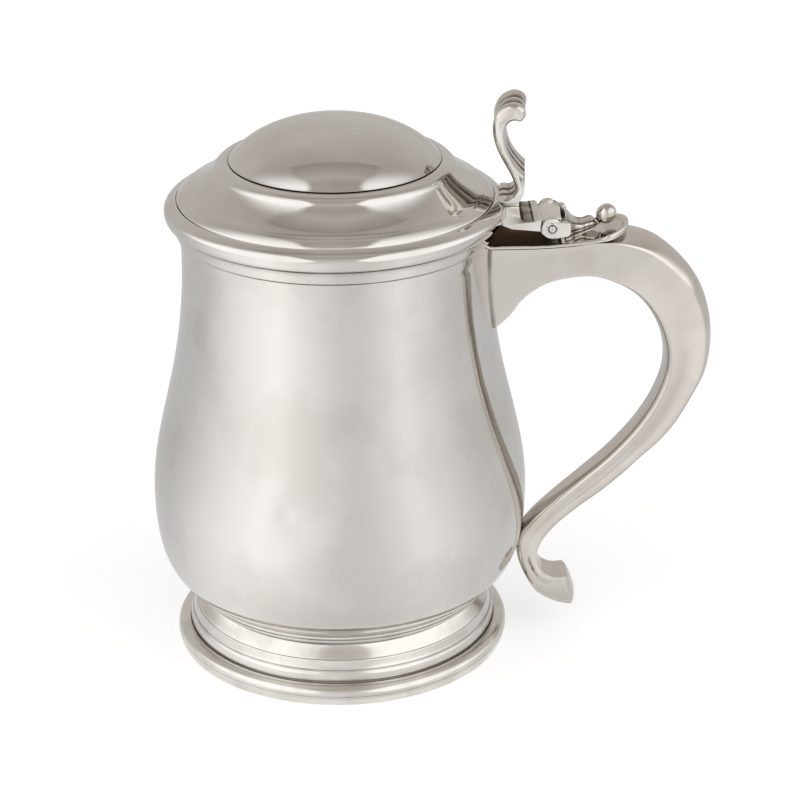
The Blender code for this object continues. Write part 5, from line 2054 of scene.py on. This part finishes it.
@dataclass(frozen=True)
class Swell:
    """A soft swell of light or shade round the horizon, by azimuth from the camera in degrees."""

    azimuth: float
    spread: float
    gain: float


@dataclass(frozen=True)
class LowLight:
    """What the silver sees low down: a plain level with soft swells left and right of the camera."""

    level: float = 0.8
    swells: tuple[Swell, ...] = (
        Swell(-47.0, 70.0, 0.55),
        Swell(46.0, 46.0, 0.31),
        Swell(-41.0, 16.0, 0.07),
        Swell(43.0, 14.0, 0.05),
        Swell(140.0, 60.0, -0.06),
        Swell(-125.0, 50.0, -0.06),
        Swell(180.0, 85.0, -0.18),
    )
    near: float = 0.0562
    far: float = 6.5
    lift: float = 0.0008
    # Under the belly the swells are weaker and the table is a little darker.
    calm: tuple[float, float, float] = (0.06, 0.2, 0.66)
    shade: tuple[float, float, float] = (0.055, 0.1, 0.94)
    steps: int = 72

    def strength(self, tree: NodeTree, way: NodeSocket) -> NodeSocket:
        """Brightness towards a direction.

        Args:
            tree: Tree that takes the nodes.
            way: Direction from the body's axis.

        Returns:
            The brightness.
        """
        flat = add_node(tree, VECTOR, (way, (1.0, 1.0, 0.0)), operation="MULTIPLY")[0]
        unit = add_node(tree, VECTOR, (flat,), operation="NORMALIZE")[0]
        reach = add_node(tree, VECTOR, (flat,), operation="LENGTH")["Value"]
        level = 0.0
        for swell in self.swells:
            turn = radians(swell.azimuth)
            facing = (unit, (sin(turn), -cos(turn), 0.0))
            share = add_node(tree, VECTOR, facing, operation="DOT_PRODUCT")["Value"]
            away = add_node(tree, MATHS, (share,), operation="ARCCOSINE")[0]
            fall = (away, 0.0, radians(swell.spread), swell.gain, 0.0)
            gain = add_node(tree, RANGE, fall, **SOFT)[0]
            level = add_node(tree, MATHS, (gain, level), operation="ADD")[0]
        calm = add_node(tree, RANGE, (reach, *self.calm, 1.0), **SOFT)[0]
        level = add_node(tree, MATHS, (level, calm), operation="MULTIPLY")[0]
        level = add_node(tree, MATHS, (level, self.level), operation="ADD")[0]
        shade = add_node(tree, RANGE, (reach, *self.shade, 1.0), **SOFT)[0]
        return add_node(tree, MATHS, (level, shade), operation="MULTIPLY")[0]

    def build(self, axis: Vector) -> None:
        """Builds the card just above the table that only the silver sees.

        Args:
            axis: Foot of the body's axis.
        """
        mesh = bpy.data.meshes.new("table_card")
        points, faces = [], []
        for step in range(self.steps):
            turn = tau * step / self.steps
            for reach in (self.near, self.far):
                points.append((cos(turn) * reach, sin(turn) * reach, self.lift))
            start, after = 2 * step, 2 * ((step + 1) % self.steps)
            faces.append((start, start + 1, after + 1, after))
        mesh.from_pydata(points, [], faces)
        mesh.materials.append(self.material())
        card = new_object("table_card", mesh)
        card.location = axis
        card.visible_camera = False
        card.visible_diffuse = False
        card.visible_shadow = False
        card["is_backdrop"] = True

    def material(self) -> Material:
        """Glow of the card.

        Returns:
            The material.
        """
        material = blank_material("table_card_glow")
        tree = material.node_tree
        place = add_node(tree, "ShaderNodeTexCoord")["Object"]
        glow = add_node(tree, "ShaderNodeEmission", {"Strength": self.strength(tree, place)})[0]
        add_node(tree, "ShaderNodeOutputMaterial", {"Surface": glow})
        return material


@dataclass
class Studio:
    """White table, soft tent light and the camera of the photograph."""

    floor_colour: str = "dcdcdc"
    floor_glow: float = 0.45
    floor_roughness: float = 0.9
    floor_half: float = 4.0
    low_light: LowLight = LowLight()
    # Levels of the bright cloths and of the back, and where the cloths end.
    bright: float = 1.5
    back: Point = (0.56, 0.66)
    cloth_slant: Spot = (0.0, 1.0, 0.35)
    cloth_reach: float = 0.6
    cloth_range: Point = (-0.32, 0.18)
    # The dark slot overhead, as shares of the height: half width, soft edge, flare, end and spread low down.
    slot_half: float = 0.36
    slot_soft: float = 0.06
    slot_flare: float = 0.13
    flare_range: Point = (-0.25, 0.05)
    slot_end: float = 0.25
    slot_ends: Point = (0.22, 0.29)
    slot_spread: float = 1.25
    lowest: float = 0.03
    foot_range: Point = (0.03, 0.22)
    # Brightness along the slot, from far in front to a little behind the zenith: distance over height, level.
    slot_levels: tuple[Point, ...] = (
        (-2.5, 0.86),
        (-1.5, 0.78),
        (-0.75, 0.67),
        (-0.45, 0.56),
        (-0.27, 0.52),
        (-0.12, 0.64),
        (0.0, 0.54),
        (0.12, 0.48),
        (0.24, 0.4),
    )
    warm: str = "fff8f0"
    warm_range: Point = (0.45, 1.0)
    # The camera stands this far in front of the body's axis and above the table, in metres.
    distance: float = 0.77283
    height: float = 0.42429
    yaw: float = 0.0256
    pitch: float = 0.4172
    roll: float = -0.0063
    lens: float = 117.58
    sensor: float = 36.0

    def build(self, axis: Vector) -> None:
        """Builds the floor, the light and the camera.

        Args:
            axis: Foot of the body's axis.
        """
        self.build_floor(axis)
        self.build_sky()
        self.low_light.build(axis)
        self.build_camera(axis)
        bpy.context.scene.view_settings.view_transform = "Standard"

    def build_floor(self, axis: Vector) -> None:
        """Builds the white table top, which keeps the shadow of the tankard.

        Args:
            axis: Foot of the body's axis.
        """
        half = self.floor_half
        corners = [(-half, -half, 0.0), (half, -half, 0.0), (half, half, 0.0), (-half, half, 0.0)]
        mesh = bpy.data.meshes.new("table_top")
        mesh.from_pydata(corners, [], [(0, 1, 2, 3)])
        floor = new_object("table_top", mesh)
        floor.location = axis
        material = blank_material("white_table")
        cloth = {
            "Base Color": srgb(self.floor_colour),
            "Roughness": self.floor_roughness,
            "Emission Color": srgb("ffffff"),
            "Emission Strength": self.floor_glow,
        }
        shader = add_node(material.node_tree, "ShaderNodeBsdfPrincipled", cloth)["BSDF"]
        add_node(material.node_tree, "ShaderNodeOutputMaterial", {"Surface": shader})
        mesh.materials.append(material)
        floor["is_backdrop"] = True

    def build_sky(self) -> None:
        """Lights the scene: bright roof and walls left and right of a dark slot, and a grey back."""
        world = bpy.data.worlds.new("light_tent")
        bpy.context.scene.world = world
        world.use_nodes = True
        tree = world.node_tree
        tree.nodes.clear()
        way = add_node(tree, "ShaderNodeTexCoord")["Generated"]
        rise = add_node(tree, "ShaderNodeSeparateXYZ", (way,))["Z"]
        foot = add_node(tree, RANGE, (rise, *self.foot_range, 0.0, 1.0), **SOFT)[0]
        links = {0: foot, 2: self.low_light.strength(tree, way), 3: self.roof(tree, way)}
        level = add_node(tree, MIX, links, data_type="FLOAT")[0]
        share = add_node(tree, RANGE, (level, *self.warm_range, 0.0, 1.0), **SOFT)[0]
        links = {0: share, 6: srgb(self.warm), 7: srgb("ffffff")}
        colour = add_node(tree, MIX, links, data_type="RGBA")[2]
        sky = add_node(tree, "ShaderNodeBackground", {"Color": colour, "Strength": level})[0]
        add_node(tree, "ShaderNodeOutputWorld", {"Surface": sky})

    def roof(self, tree: NodeTree, way: NodeSocket) -> NodeSocket:
        """Brightness of the tent above the table.

        Args:
            tree: Tree that takes the nodes.
            way: Direction from the tankard.

        Returns:
            The brightness towards the direction.
        """
        parts = add_node(tree, "ShaderNodeSeparateXYZ", (way,))
        up = add_node(tree, MATHS, (parts["Z"], self.lowest), operation="MAXIMUM")[0]
        reach = add_node(tree, MATHS, (parts["X"], 0.0), operation="ABSOLUTE")[0]
        spread = add_node(tree, RANGE, (parts["Z"], 0.0, 1.0, self.slot_spread, 0.0))[0]
        level_up = add_node(tree, MATHS, (up, spread), operation="MAXIMUM")[0]
        across = add_node(tree, MATHS, (reach, level_up), operation="DIVIDE")[0]
        along = add_node(tree, MATHS, (parts["Y"], up), operation="DIVIDE")[0]
        flare = add_node(tree, RANGE, (along, *self.flare_range, 0.0, self.slot_flare), **SOFT)[0]
        across = add_node(tree, MATHS, (across, flare), operation="SUBTRACT")[0]
        sides = (self.slot_half - self.slot_soft, self.slot_half + self.slot_soft)
        beside = add_node(tree, RANGE, (across, *sides, 0.0, 1.0), **SOFT)[0]
        behind = add_node(tree, RANGE, (along, *self.slot_ends, 0.0, 1.0), **SOFT)[0]
        outside = add_node(tree, MATHS, (beside, behind), operation="MAXIMUM")[0]
        # The bright cloths hang in front, left and right, and end along a slant towards the back.
        slant = add_node(tree, VECTOR, (way, self.cloth_slant), operation="DOT_PRODUCT")["Value"]
        aside = add_node(tree, MATHS, (reach, self.cloth_reach), operation="MULTIPLY")[0]
        slant = add_node(tree, MATHS, (slant, aside), operation="SUBTRACT")[0]
        share = add_node(tree, RANGE, (slant, *self.cloth_range, 1.0, 0.0), **SOFT)[0]
        rear = add_node(tree, RANGE, (along, self.slot_end, 1.0, *self.back), **SOFT)[0]
        walls = add_node(tree, MIX, {0: share, 2: rear, 3: self.bright}, data_type="FLOAT")[0]
        links = {0: outside, 2: self.slot_glow(tree, along), 3: walls}
        return add_node(tree, MIX, links, data_type="FLOAT")[0]

    def slot_glow(self, tree: NodeTree, along: NodeSocket) -> NodeSocket:
        """Brightness along the dark slot in the roof.

        Args:
            tree: Tree that takes the nodes.
            along: Distance over height, to the back.

        Returns:
            The brightness.
        """
        first, last = self.slot_levels[0][0], self.slot_levels[-1][0]
        share = add_node(tree, RANGE, (along, first, last, 0.0, 1.0))[0]
        shade = add_node(tree, "ShaderNodeValToRGB", (share,))["Color"]
        stops = shade.node.color_ramp.elements
        while len(stops) < len(self.slot_levels):
            stops.new(0.5)
        for stop, (place, level) in zip(stops, self.slot_levels):
            stop.position = (place - first) / (last - first)
            stop.color = (level, level, level, 1.0)
        return shade

    def build_camera(self, axis: Vector) -> None:
        """Puts the camera where the photograph was taken from.

        Args:
            axis: Foot of the body's axis.
        """
        level = cos(self.pitch)
        forward = Vector((sin(self.yaw) * level, cos(self.yaw) * level, -sin(self.pitch)))
        right = forward.cross(Vector((0.0, 0.0, 1.0))).normalized()
        up = right.cross(forward)
        level_right = right * cos(self.roll) + up * sin(self.roll)
        level_up = up * cos(self.roll) - right * sin(self.roll)
        data = bpy.data.cameras.new("camera")
        data.sensor_width = self.sensor
        data.lens = self.lens
        data.clip_start = 0.01
        camera = new_object("camera", data)
        place = Matrix((level_right, level_up, -forward)).transposed().to_4x4()
        place.translation = axis + Vector((0.0, -self.distance, self.height))
        camera.matrix_world = place
        bpy.context.scene.camera = camera


def main() -> None:
    """Builds the tankard and its studio."""
    logging.basicConfig(level=logging.INFO, format="%(message)s")
    bench = Workbench()
    vessel = Vessel()
    pin = Pin()
    lid = Lid()
    hinge = Hinge(pin, lid)
    vessel.build(bench)
    Foot().build(bench)
    ScrollHandle(vessel, pin).build(bench)
    lid.build(bench)
    hinge.build(bench)
    Thumbpiece(lid, hinge).build(bench)
    # Oxide and painted shade wherever metal stands close to metal.
    bench.paint_oxide_and_shade_in_crannies()
    Studio().build(bench.axis)


if __name__ == "__main__":
    main()
